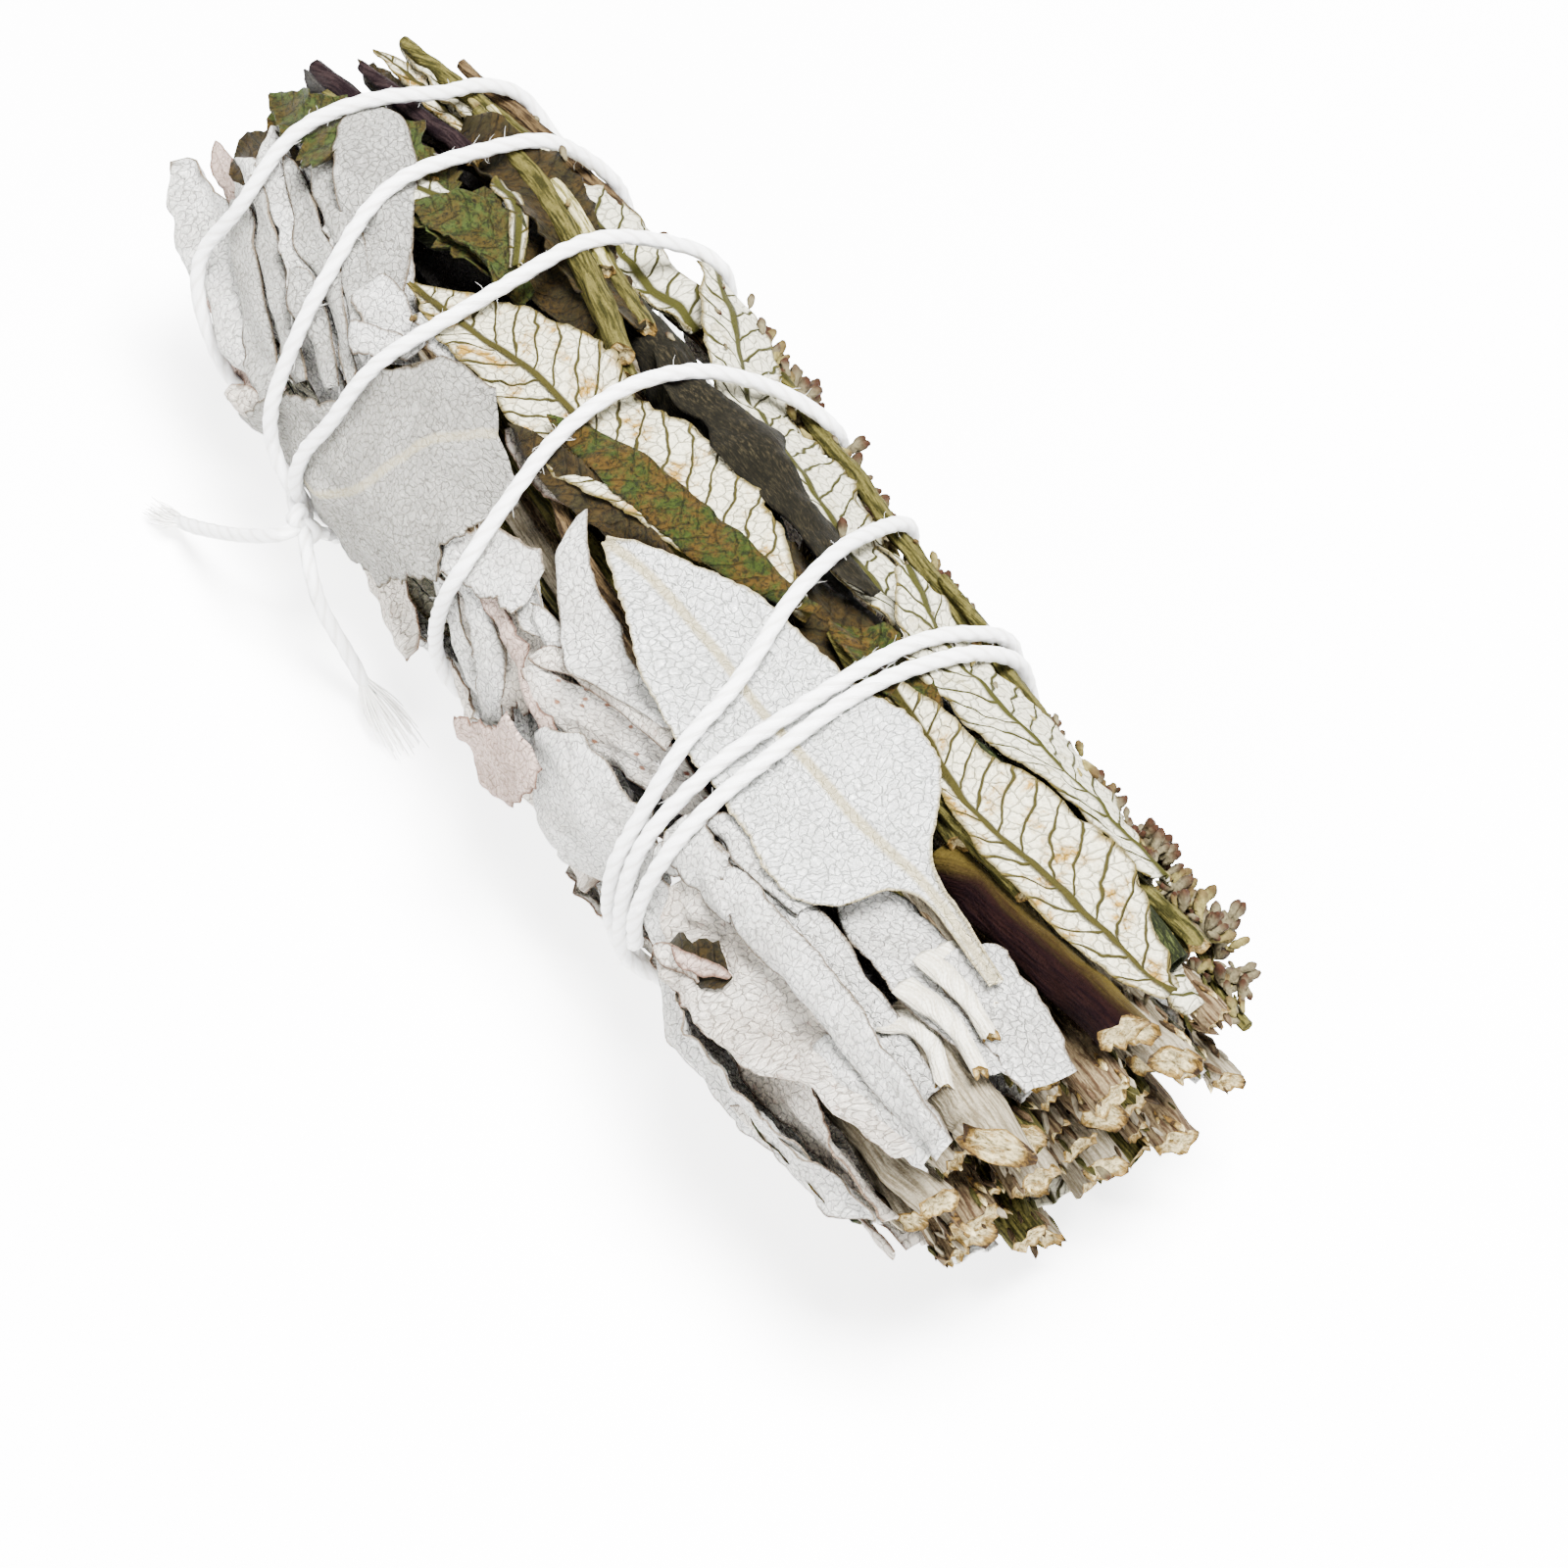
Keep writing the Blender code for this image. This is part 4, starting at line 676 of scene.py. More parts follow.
def ragged(edge, mid, form, length, seed):
    """An edge drawn in and out: torn unevenly, and scalloped as a sage leaf's edge is."""
    along = np.linspace(0, length, len(mid))
    tear = form["rag"] * (ripple(along, 0 * along, 4.0, seed) + 0.6 * ripple(along, 0 * along, 1.3, seed + 1))
    reach = edge - mid
    size = np.maximum(np.linalg.norm(reach, axis=1), 1e-6)
    notch = form["scallop"] * (np.abs(np.sin(along * math.pi / 1.05 + seed)) - 0.6)
    return mid + reach * (1 + tear + np.where(size > 1.5, notch / size, 0))[:, None]


def lay_leaf(piece, form, bed, seed, node=None, coat=0):
    """Lay one leaf over the bed and add it to a piece."""
    left, mid, right, length = leaf_frame(form)
    left, right = ragged(left, mid, form, length, seed), ragged(right, mid, form, length, seed + 5)
    rows = len(mid)
    widest = max(np.linalg.norm(left - mid, axis=1).max(), np.linalg.norm(right - mid, axis=1).max())
    columns = max(7, int(2 * widest / form["step"]) | 1)
    side = np.linspace(-1, 1, columns)[None, :]
    reach = np.where(side[..., None] < 0, (left - mid)[:, None], (right - mid)[:, None])
    half = np.linalg.norm(reach, axis=2)
    out = reach / np.maximum(half, 1e-6)[..., None]
    away = np.abs(side) * half
    along = np.linspace(0, 1, rows)[:, None] * np.ones((1, columns))
    u, v = along * length, away * np.sign(side)

    flat = mid[:, None] + out * away[..., None]
    x, angle = flat[..., 0], flat[..., 1] / ROUND
    if node:
        base = blur(node_radius(node, x, angle), 4)
    else:
        base = outline_radius(x) - form["depth"] + form["cup"] * np.abs(side) ** 1.7
    # The string presses the leaf in; it rests on the high spots below it and bridges the hollows.
    base = base - bed.groove(x, angle)
    low = bed.at(x, angle) + form["thick"] + LEAF_GAP
    raised = np.maximum(base, low)
    for _ in range(14):
        raised = np.maximum(raised, blur(raised, 1) - 0.01)
    raised = np.minimum(blur(raised, 3), base + form["most"])

    # Its margins curl, more in some places and less in others.
    curl = form["roll"] * (0.75 + 0.45 * ripple(u, 0 * v + side * 3, 7.0, seed + 2))
    curl = np.where(np.abs(curl) < 0.02, 0.02, curl)
    start = np.maximum(half - form["reach"], 0)
    bend = np.clip(curl * np.maximum(away - start, 0), -MOST_CURL, MOST_CURL)
    bent = np.minimum(away, start) + np.sin(bend) / curl
    lift = (1 - np.cos(bend)) / curl

    # Crumples, a midrib that fades towards the tip, and a frilled edge.
    relief = form["crumple"] * (ripple(u, v, 5.0, seed + 3) + 0.45 * ripple(u, v, 2.0, seed + 4))
    relief = relief + form["rib"] * np.exp(-(v / RIB_REACH) ** 2) * (0.25 + 0.75 * along)
    if node:
        relief = relief + form["cup"] * np.abs(side) ** 2
    fringe = np.exp(-np.minimum(half - away, np.minimum(u, length - u)) / FRINGE_REACH)
    relief = relief + form["fringe"] * fringe * ripple(u, v, 2.6, seed + 6)
    place = mid[:, None] + out * bent[..., None]
    points = to_space(place[..., 0], place[..., 1] / ROUND, raised + relief + lift)
    add_blade(piece, points, u, v, half - away, form["thick"], coat)
    bed.stamp(points)


def add_blade(piece, points, u, v, margin, thick, coat):
    """A grid of points as a blade with that thickness, closed all round."""
    rows, columns = u.shape
    normal = np.cross(np.gradient(points, axis=0), np.gradient(points, axis=1))
    normal /= np.maximum(np.linalg.norm(normal, axis=2), 1e-9)[..., None]
    outward = points * (0, 1, 1)
    turned = (normal * outward).sum() < 0
    normal = -normal if turned else normal
    thin = thick * np.clip(0.4 + 0.9 * margin, 0.4, 1.0)
    under = points - normal * thin[..., None]
    count = rows * columns
    top = grid_faces(rows, columns)
    edge = list(range(columns)) + [i * columns + columns - 1 for i in range(1, rows)]
    edge += [count - 1 - i for i in range(1, columns)] + [i * columns for i in range(rows - 2, 0, -1)]
    edge = np.array(edge)
    following = np.roll(edge, -1)
    rim = np.stack([edge, following, following + count, edge + count], axis=-1)
    faces = np.vstack([top, top[:, ::-1] + count, rim])
    if turned:
        faces = faces[:, ::-1]
    both = np.concatenate([points.reshape(-1, 3), under.reshape(-1, 3)])
    place = np.stack([u, v], axis=-1).reshape(-1, 2)
    piece.add(both, faces, np.concatenate([place, place]), np.tile(margin.ravel(), 2), coat)


def tube(piece, centres, radii, sides, seed, ribs, rib_depth, wobble, coat=0, cut=None, slope=0.0):
    """A stem along points in space, with ribs along it; cut gives its last end a face in another coat."""
    centres = np.array(centres)
    way = np.gradient(centres, axis=0)
    way /= np.linalg.norm(way, axis=1)[:, None]
    side = np.cross(way, (0.0, 0.3, 1.0))
    side /= np.linalg.norm(side, axis=1)[:, None]
    other = np.cross(way, side)
    turn = (np.linspace(0, math.tau, sides, endpoint=False) + math.pi / 2)[None, :]
    run = np.concatenate([[0], np.cumsum(np.linalg.norm(np.diff(centres, axis=0), axis=1))])[:, None]
    radii = np.asarray(radii)
    wide, tall = radii.T if radii.ndim == 2 else (radii, radii)
    rough = 1 + wobble * ripple(run, turn * 2, 3.0, seed) + rib_depth * np.cos(ribs * turn + seed)
    a, b = wide[:, None] * np.cos(turn) * rough, tall[:, None] * np.sin(turn) * rough
    rings = centres[:, None] + side[:, None] * a[..., None] + other[:, None] * b[..., None]
    if cut is not None:
        draw = random.Random(seed + 9)
        torn = np.array([draw.uniform(-0.4, 0.3) for _ in range(sides)])
        near_end = np.clip(1 - (run[-1] - run) / 3.0, 0, 1)
        at_end = (run == run[-1]) * 1.0
        rings += way[:, None] * (near_end * slope * a + at_end * torn[None])[..., None]
    u = run * np.ones((1, sides))
    v = turn * wide[:, None]
    faces = grid_faces(len(centres), sides, closed=True)
    first, last = rings[:1].mean(axis=1) - way[0] * wide[0] * 0.3, rings[-1:].mean(axis=1)
    points = np.vstack([rings.reshape(-1, 3), first])
    flat_uv = np.vstack([np.stack([u, v], -1).reshape(-1, 2), [[0, 0]]])
    cap = [(len(points) - 1, j, (j + 1) % sides) for j in range(sides)]
    piece.add(points, [tuple(f) for f in faces] + cap, flat_uv, np.ones(len(points)), coat)
    cap_face(piece, rings[-1], last[0], way[-1], wide[-1], coat if cut is None else cut, seed)


def cap_face(piece, ring, middle, way, size, coat, seed):
    """A cut stem's face: a raised ragged rim round a sunken pith."""
    sides = len(ring)
    draw = random.Random(seed + 4)
    rows = [ring]
    scale = min(size, 1.5) / 1.5
    for share, sink in ((0.9, 0.02), (0.74, -0.16), (0.42, -0.3), (0.15, -0.2)):
        uneven = np.array([draw.uniform(-0.14, 0.14) for _ in range(sides)])
        rows.append(middle + (ring - middle) * share + way * ((sink + uneven) * scale)[:, None])
    points = np.vstack(rows + [[middle - way * 0.15]])
    faces = [tuple(f) for f in grid_faces(len(rows), sides, closed=True)]
    base = (len(rows) - 1) * sides
    faces += [(base + j, len(points) - 1, base + (j + 1) % sides) for j in range(sides)]
    from_middle = np.linalg.norm(points - middle, axis=1)
    piece.add(points, faces, points[:, 1:], size - from_middle, coat)


def lay_line(path, reach, bed, count, depth, node=None):
    """Centres in space of a stem laid on the bed, straightened between the high spots."""
    flat = smooth_curve(unroll(path), count)
    x, angle = flat[:, 0], flat[:, 1] / ROUND
    if node:
        radius = blur(node_radius(node, x[:, None], angle[:, None]), 3)[:, 0] - reach
    else:
        radius = outline_radius(x) - depth - reach
    high = np.max([bed.at(x, angle + off * reach / ROUND) for off in (-0.7, 0, 0.7)], axis=0)
    radius = np.maximum(radius - bed.groove(x, angle) * 0.6, np.minimum(high + reach, radius + 1.8))
    for _ in range(40):
        wide = np.pad(radius, 1, mode="edge")
        radius = np.maximum(radius, (wide[:-2] + wide[2:]) / 2 - 0.004)
    return to_space(x, angle, radius)


def stamp_tube(bed, centres, radii):
    """Raise the bed to a stem."""
    x, angle, radius = from_space(np.array(centres))
    strip = []
    for off in np.linspace(-0.9, 0.9, 9):
        strip.append(to_space(x, angle + off * radii / radius, radius + radii * math.sqrt(1 - off * off)))
    bed.stamp(np.array(strip))


def dress_leaves(leaves, bed, seed):
    """Each of these leaves as a piece of its own, in place of its CAD node."""
    for k, form in enumerate(leaves):
        piece = Piece()
        name = form["name"]
        lay_leaf(piece, form, bed, seed + 17 * k, node=name)
        piece.build(name + "_leaf", [form["coat"]], [name])


def dress_scraps(name, leaves, bed, seed):
    """Several small leaves as one piece."""
    piece = Piece()
    coats = sorted({form["coat"] for form in leaves})
    for k, form in enumerate(leaves):
        lay_leaf(piece, form, bed, seed + 13 * k, coat=coats.index(form["coat"]))
    piece.build(name, coats)


def cut_offset(offset, x):
    """Distance from the axis at x of a cut stem that starts this far from it."""
    return offset * (1 + CUT_SPREAD * (x - CUT_FROM) / CUT_RUN)


def dress_bunch(bed):
    """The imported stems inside, and the stems that show their cut ends at the butt."""
    piece = Piece()
    coats = ["olive", "felted", "brown", "pith", "heart"]
    core = np.linspace(BUNCH_FROM, BUNCH_TO, 48)
    near_tip = np.clip((core - BUNCH_FROM) / 14, 0.02, 1) ** 0.5
    shape = (outline_radius(core) - 9.2) * (0.4 + 0.6 * near_tip)
    middle = np.column_stack([core, 0 * core, 0 * core])
    # The packed core, in painted shade: near black, as it shows only as shadow between the stems.
    tube(piece, middle, shape, 60, 3, 20, 0.05, 0.03, coats.index("heart"))
    for k in range(26):
        angle = math.radians(360 / 26 * k)
        x = np.linspace(BUNCH_FROM + 2 + 3 * (k % 3), BUNCH_TO, 40)
        tight = 0.5 + 0.5 * np.clip((x - BUNCH_FROM) / 14, 0, 1) ** 0.5
        radius = (outline_radius(x) - 8.9 - 0.5 * (k % 2)) * tight
        twist = angle + 0.12 * np.sin(x / 14 + k)
        tube(piece, to_space(x, twist, radius), np.full(40, 1.25), 9, 40 + k, 5, 0.06, 0.08, k % 3)
    for k, (offset, angle, size, end, slope, coat) in enumerate(CUT_STEMS):
        x = np.concatenate([np.linspace(CUT_FROM, end - 1.0, 16), [end - 0.5, end - 0.15, end]])
        bow = math.radians(angle) + 0.02 * np.sin((x - CUT_FROM) / 4 + k)
        size_along = size * (0.94 + 0.06 * (x - CUT_FROM) / CUT_RUN)
        centres = to_space(x, bow, cut_offset(offset, x))
        tube(piece, centres, size_along, 18, 90 + k, 6 + k % 4, 0.035, 0.05, coats.index(coat),
             cut=coats.index("pith"), slope=slope - 0.25)
        if offset > 8:
            stamp_tube(bed, centres, size_along)
    bed.stamp(np.array([to_space(core, np.full(core.shape, a), shape + 1.4)
                        for a in np.linspace(0, math.tau, 181)]))
    piece.build("inner_stem_bunch_stems", coats, ["inner_stem_bunch"])


def dress_stems(bed):
    """The stems that lie at the surface, one piece each."""
    for k, (name, path, size, coat) in enumerate(STEMS):
        piece = Piece()
        count = max(14, int(path_length(smooth_curve(unroll(path), 30)) / 0.5))
        centres = lay_line(path, size, bed, count, 1.3, node=name)
        taper = size * np.interp(np.linspace(0, 1, count), (0, 0.2, 1), (0.7, 0.95, 1.0))
        slope = -1.0 if "oblique" in name else -0.35
        tube(piece, centres, taper, 22, 200 + k, 7, 0.03, 0.06, cut=1, slope=slope)
        stamp_tube(bed, centres, taper)
        piece.build(name + "_bark", [coat, "pith"], [name])


def dress_twigs(bed):
    """The thinner twigs and leaf stalks that lie between the leaves."""
    piece = Piece()
    coats = ["purple", "olive", "twig", "petiole", "petiole_olive", "pith"]
    for k, (path, size, coat, depth) in enumerate(TWIGS):
        count = max(12, int(path_length(smooth_curve(unroll(path), 30)) / 0.5))
        centres = lay_line(path, size, bed, count, depth)
        share = np.linspace(0, 1, count)
        taper = size * np.interp(share, (0, 0.3, 1), (0.55, 0.9, 1.0))
        flare = np.interp(share, (0, 0.35, 0.7), (3.4, 1.8, 1.0)) if coat == "petiole" else np.ones(count)
        ribs, wobble = (0.02, 0.05) if coat == "petiole" else (0.09, 0.1)
        radii = np.column_stack([taper * flare, taper / flare ** 0.5])
        tube(piece, centres, radii, 14, 240 + k, 5, ribs, wobble, coats.index(coat), cut=coats.index("pith"),
             slope=-0.3)
        stamp_tube(bed, centres, taper)
    piece.build("surface_twigs", coats)


def dress_rolls(bed):
    """Leaves that have rolled up lengthwise: a scroll in section, with its free edge along the top."""
    for k, (name, path, widths, coat) in enumerate(ROLLS):
        piece = Piece()
        count = int(path_length(smooth_curve(unroll(path), 30)) / 0.45)
        wide = np.interp(np.linspace(0, 1, count), np.linspace(0, 1, len(widths)), widths)
        tall = wide * 0.75
        centres = lay_line(path, float(tall.mean()), bed, count, 1.3, node=name)
        sides = 34
        turn = np.linspace(-2.2, math.tau - 1.2, sides)[None, :]
        run = np.linspace(0, path_length(centres), count)[:, None]
        scroll = 0.86 + 0.2 * (turn + 2.2) / math.tau + 0.05 * ripple(run, turn * 2, 4.0, 300 + k)
        way = np.gradient(centres, axis=0)
        way /= np.linalg.norm(way, axis=1)[:, None]
        out = centres * (0, 1, 1)
        out /= np.linalg.norm(out, axis=1)[:, None]
        side = np.cross(out, way)
        across = (wide[:, None] * np.cos(turn) * scroll)[..., None] * side[:, None]
        up = (tall[:, None] * np.sin(turn) * scroll)[..., None] * out[:, None]
        points = centres[:, None] + across + up
        u = run * np.ones((1, sides))
        v = turn * wide[:, None]
        add_blade(piece, points, u, v, np.full(u.shape, 1.0), 0.34, 0)
        stamp_tube(bed, centres, wide)
        piece.build(name + "_scroll", [coat], [name])


def bud_shape():
    """A dried mugwort floret head, modelled once: overlapping bracts, a blunt tip. Length 1, base at zero."""
    bpy.ops.object.select_all(action="DESELECT")
    bpy.ops.mesh.primitive_uv_sphere_add(segments=8, ring_count=7, radius=0.5, location=(0, 0, 0))
    bud = bpy.context.object
    bpy.ops.object.mode_set(mode="EDIT")
    shape = bmesh.from_edit_mesh(bud.data)
    for vert in shape.verts:
        height = vert.co.z + 0.5
        bract = 1 + 0.3 * math.cos(4 * math.atan2(vert.co.y, vert.co.x) + 22 * height)
        slim = 0.38 * bract * (0.8 + 0.4 * height)
        vert.co.x *= slim
        vert.co.y *= slim
        vert.co.z += 0.05 * (bract - 1) * math.sin(math.pi * height)
    bmesh.update_edit_mesh(bud.data)
    bpy.ops.object.mode_set(mode="OBJECT")
    return taken(bud, (0, 0, 0.5))


def chip_shape():
    """A broken chip of stem, modelled once: a long angular fragment. Length about 1, middle at zero."""
    bpy.ops.object.select_all(action="DESELECT")
    bpy.ops.mesh.primitive_ico_sphere_add(subdivisions=1, radius=0.5, location=(0, 0, 0))
    chip = bpy.context.object
    bpy.ops.object.mode_set(mode="EDIT")
    bpy.ops.mesh.select_all(action="SELECT")
    bpy.ops.transform.resize(value=(0.42, 0.26, 1.2), center_override=(0, 0, 0))
    bpy.ops.transform.vertex_random(offset=0.12, seed=SEED)
    bpy.ops.object.mode_set(mode="OBJECT")
    return taken(chip, (0, 0, 0))


def taken(shape, shift):
    """A modelled shape's points and faces; the object itself goes."""
    points = np.array([tuple(v.co) for v in shape.data.vertices]) + shift
    faces = [tuple(f.vertices) for f in shape.data.polygons]
    bpy.data.objects.remove(shape, do_unlink=True)
    return points, faces


def add_bud(piece, bud, base, way, size, coat):
    """One floret at a place, pointing a way, left out where it would reach beyond the bundle's box."""
    points, faces = bud
    way = np.array(way) / np.linalg.norm(way)
    side = np.cross(way, (0.31, 0.7, 0.2))
    side /= np.linalg.norm(side)
    other = np.cross(way, side)
    placed = base + size * (points[:, :1] * side + points[:, 1:2] * other + points[:, 2:] * way)
    where = (placed + AXIS) * MM
    if (where > np.array(cad_box[0])).all() and (where < np.array(cad_box[1])).all():
        piece.add(placed, faces, np.column_stack([points[:, 2], points[:, 0]]), points[:, 2], coat)


def dress_sprays(bed):
    """Mugwort sprays: a thin stem, bent side stalks, and florets crowded along each stalk."""
    bud = bud_shape()
    draw = random.Random(11)
    for k, (name, path, stalks) in enumerate(SPRAYS):
        piece = Piece()
        count = 40
        centres = lay_line(path, 1.9, bed, count, 1.3, node=name)
        tube(piece, centres, np.full(count, 0.5), 8, 400 + k, 5, 0.06, 0.06)
        for n in range(stalks):
            share = 0.02 + 0.96 * n / (stalks - 1)
            here = np.array([np.interp(share, np.linspace(0, 1, count), column) for column in centres.T])
            turn = 2.4 * n
            out = np.array((0, here[1], here[2])) / np.hypot(here[1], here[2])
            round_way = np.cross((1, 0, 0), out)
            spread = round_way * math.cos(turn) + out * (0.35 + 0.75 * math.sin(turn))
            way = np.array((draw.uniform(-1.2, 0.3), 0, 0)) + spread
            way /= np.linalg.norm(way)
            reach = draw.uniform(1.0, 2.6)
            sway = np.array([draw.uniform(-0.3, 0.3) for _ in range(3)])
            stalk = smooth_curve([here, here + way * reach * 0.5 + sway, here + way * reach], 5)
            add_fibre(piece, stalk, 0.16)
            for _ in range(4):
                base = stalk[draw.randrange(1, 5)] + np.array([draw.uniform(-0.35, 0.35) for _ in range(3)])
                lean = way + np.array([draw.uniform(-0.45, 0.45) for _ in range(3)])
                add_bud(piece, bud, base, lean, draw.uniform(1.3, 2.2), draw.choice((1, 1, 1, 2)))
        stamp_tube(bed, centres, np.full(count, 1.7))
        piece.build(name + "_florets", ["olive", "floret", "straw"], [name])


def taut(radius, step):
    """A string's radius drawn straight between the high spots."""
    chord = math.cos(step / ROUND)
    for _ in range(60):
        wide = np.pad(radius, 1, mode="edge")
        radius = np.maximum(radius, (wide[:-2] + wide[2:]) / 2 * chord)
    return radius


def string_centres(bed):
    """Centres of the winding: taut over the leaves, and over its own earlier turns where they cross."""
    step = 1.5
    route = string_route(step)
    x, angle = route[:, 0], np.radians(route[:, 1])
    radius = np.zeros(len(route))
    behind = 5
    for i in range(len(route)):
        high = [bed.at(np.array([x[i] + dx]), np.array([angle[i] + ds / ROUND]))[0]
                for dx in (-0.35, 0, 0.35) for ds in (-0.7, -0.35, 0, 0.35, 0.7)]
        radius[i] = max(high) + STRING_RADIUS * 0.85
        if i > behind:
            j = i - behind
            crown = radius[j:j + 2] + STRING_RADIUS * 0.8
            bed.stamp(np.array([to_space(x[j:j + 2] + dx, angle[j:j + 2], crown) for dx in (-0.3, 0.3)]))
    radius = taut(radius, step) + 0.06
    for _ in range(3):
        wide = np.pad(radius, 1, mode="edge")
        radius = (wide[:-2] + 2 * radius + wide[2:]) / 4
    table = (AXIS[2] - STRING_RADIUS - 0.08) / np.maximum(-np.cos(angle), 0.5)
    radius = np.minimum(radius, np.where(np.cos(angle) < -0.5, table, 99))
    places = np.column_stack([x, angle * ROUND, radius])
    fine = smooth_curve(places, int(path_length(places) / 0.34))
    return to_space(fine[:, 0], fine[:, 1] / ROUND, fine[:, 2])


def add_yarn(piece, centres, radii, seed):
    """Twisted cotton yarn: a round string whose plies wind round it."""
    sides = YARN_SIDES
    way = np.gradient(centres, axis=0)
    way /= np.linalg.norm(way, axis=1)[:, None]
    side = np.zeros_like(centres)
    side[0] = np.cross(way[0], (0.2, 0.3, 1.0))
    side[0] /= np.linalg.norm(side[0])
    for i in range(1, len(centres)):
        flat = side[i - 1] - way[i] * np.dot(side[i - 1], way[i])
        side[i] = flat / np.linalg.norm(flat)
    other = np.cross(way, side)
    turn = np.linspace(0, math.tau, sides, endpoint=False)[None, :]
    run = np.concatenate([[0], np.cumsum(np.linalg.norm(np.diff(centres, axis=0), axis=1))])[:, None]
    ply = np.abs(np.cos((turn * STRING_PLIES - math.tau * run * STRING_PLIES / PLY_PITCH) / 2))
    size = np.asarray(radii)[:, None] * (0.89 + 0.12 * ply + 0.05 * ripple(run, turn * 2, 1.3, seed))
    points = centres[:, None] + size[..., None] * (side[:, None] * np.cos(turn)[..., None]
                                                   + other[:, None] * np.sin(turn)[..., None])
    u = run * np.ones((1, sides))
    v = (turn - math.tau * run / PLY_PITCH) * STRING_RADIUS
    flat_points = np.vstack([points.reshape(-1, 3), centres[:1], centres[-1:]])
    place = np.vstack([np.stack([u, v], -1).reshape(-1, 2), [[0, 0], [0, 0]]])
    count = len(centres) * sides
    faces = [tuple(f) for f in grid_faces(len(centres), sides, closed=True)]
    faces += [(count, j, (j + 1) % sides) for j in range(sides)]
    base = count - sides
    faces += [(base + j, count + 1, base + (j + 1) % sides) for j in range(sides)]
    piece.add(flat_points, faces, place, np.append(ply.ravel(), (1, 1)))


def add_fibre(piece, points, size):
    """A thin three-sided hair that narrows along its length: a loose cotton fibre, or a floret's stalk."""
    points = np.array(points)
    way = np.gradient(points, axis=0)
    side = np.cross(way, (0.4, 0.5, 0.7))
    side /= np.maximum(np.linalg.norm(side, axis=1), 1e-9)[:, None]
    other = np.cross(way, side)
    other /= np.maximum(np.linalg.norm(other, axis=1), 1e-9)[:, None]
    thin = np.linspace(1, 0.35, len(points))[:, None] * size
    rings = np.stack([points + thin * (side * math.cos(t) + other * math.sin(t)) for t in (0, 2.09, 4.19)],
                     axis=1)
    count = len(points) * 3
    faces = [tuple(f) for f in grid_faces(len(points), 3, closed=True)]
    faces += [(0, 1, 2), (count - 1, count - 2, count - 3)]
    piece.add(rings, faces, np.zeros((count, 2)), np.zeros(count))


def dress_string(bed):
    """The cotton string: seven turns, a small knot, two loose ends that fray, and a fuzz of fibres."""
    draw = random.Random(23)
    centres = string_centres(bed)
    piece = Piece()
    add_yarn(piece, centres, np.full(len(centres), STRING_RADIUS), seed=50)
    piece.build("cotton_string_winding", ["cotton"], ["cotton_string"])

    knot_x, knot_angle = KNOT
    knot = to_space(knot_x, math.radians(knot_angle), from_space(centres[:1])[2][0] + 0.9)
    out = knot * (0, 1, 1) / np.linalg.norm(knot[1:])
    round_way = np.cross((1, 0, 0), out)
    t = np.linspace(0, math.tau, 90)
    # A trefoil, about 3.5 mm across over the yarn.
    loops = np.outer(1.35 * (np.sin(t) + 1.1 * np.sin(2 * t)) / 2, (1, 0, 0))
    loops = loops + np.outer(1.35 * (np.cos(t) - 1.1 * np.cos(2 * t)) / 2, round_way)
    loops = loops + np.outer(-0.5 * np.sin(3 * t), out)
    piece = Piece()
    add_yarn(piece, knot + loops, np.full(len(t), 0.56), seed=51)
    for end in (centres[0], centres[-1]):
        link = smooth_curve([end, (end + knot) / 2 + out * 0.3, knot], 14)
        add_yarn(piece, link, np.full(14, 0.56), seed=52)
    piece.build("string_knot", ["cotton"])

    ground = np.array((0, 0, AXIS[2]))
    for name, tail, frayed in (("string_tail_back", TAIL_BACK, 3.0), ("string_tail_front", TAIL_FRONT, 5.0)):
        piece = Piece()
        line = smooth_curve(np.vstack([knot, np.array(tail) - ground]), 110)
        whole = int(110 * (1 - frayed / path_length(line)))
        radii = np.interp(np.arange(whole), (0, whole - 12, whole - 1), (0.58, 0.62, 0.5))
        add_yarn(piece, line[:whole], radii, seed=60)
        onward = line[-1] - line[whole - 1]
        length = np.linalg.norm(onward)
        for _ in range(FRAY_FIBRES):
            sway = np.array([draw.uniform(-1, 1) for _ in range(3)])
            reach = draw.uniform(0.5, 1.15)
            start = line[whole - 4] + sway * 0.3
            end = line[whole - 1] + onward * reach + sway * 0.34 * length * np.array((1, 1, 0.35))
            end[2] = max(end[2], 0.12 - AXIS[2])
            middle = (start + end) / 2 + sway[::-1] * 0.3
            middle[2] = max(middle[2], 0.2 - AXIS[2])
            add_fibre(piece, smooth_curve([start, middle, end], 7), draw.uniform(0.05, 0.13))
        piece.build(name, ["cotton"])

    piece = Piece()
    for _ in range(FUZZ_FIBRES):
        k = draw.randrange(2, len(centres) - 2)
        start = centres[k]
        away = np.array([draw.gauss(0, 1) for _ in range(3)])
        away /= np.linalg.norm(away)
        root = start + away * STRING_RADIUS * 0.8
        reach = draw.uniform(0.25, 1.0)
        along = (centres[k + 1] - centres[k - 1]) * draw.uniform(-1.2, 1.2)
        tip = root + away * reach + along
        tip[2] = max(tip[2], 0.05 - AXIS[2])
        bend = (root + tip) / 2 + np.array([draw.uniform(-0.2, 0.2) for _ in range(3)])
        bend[2] = max(bend[2], 0.05 - AXIS[2])
        add_fibre(piece, smooth_curve([root, bend, tip], 5), 0.016)
    piece.build("string_fuzz", ["cotton"])


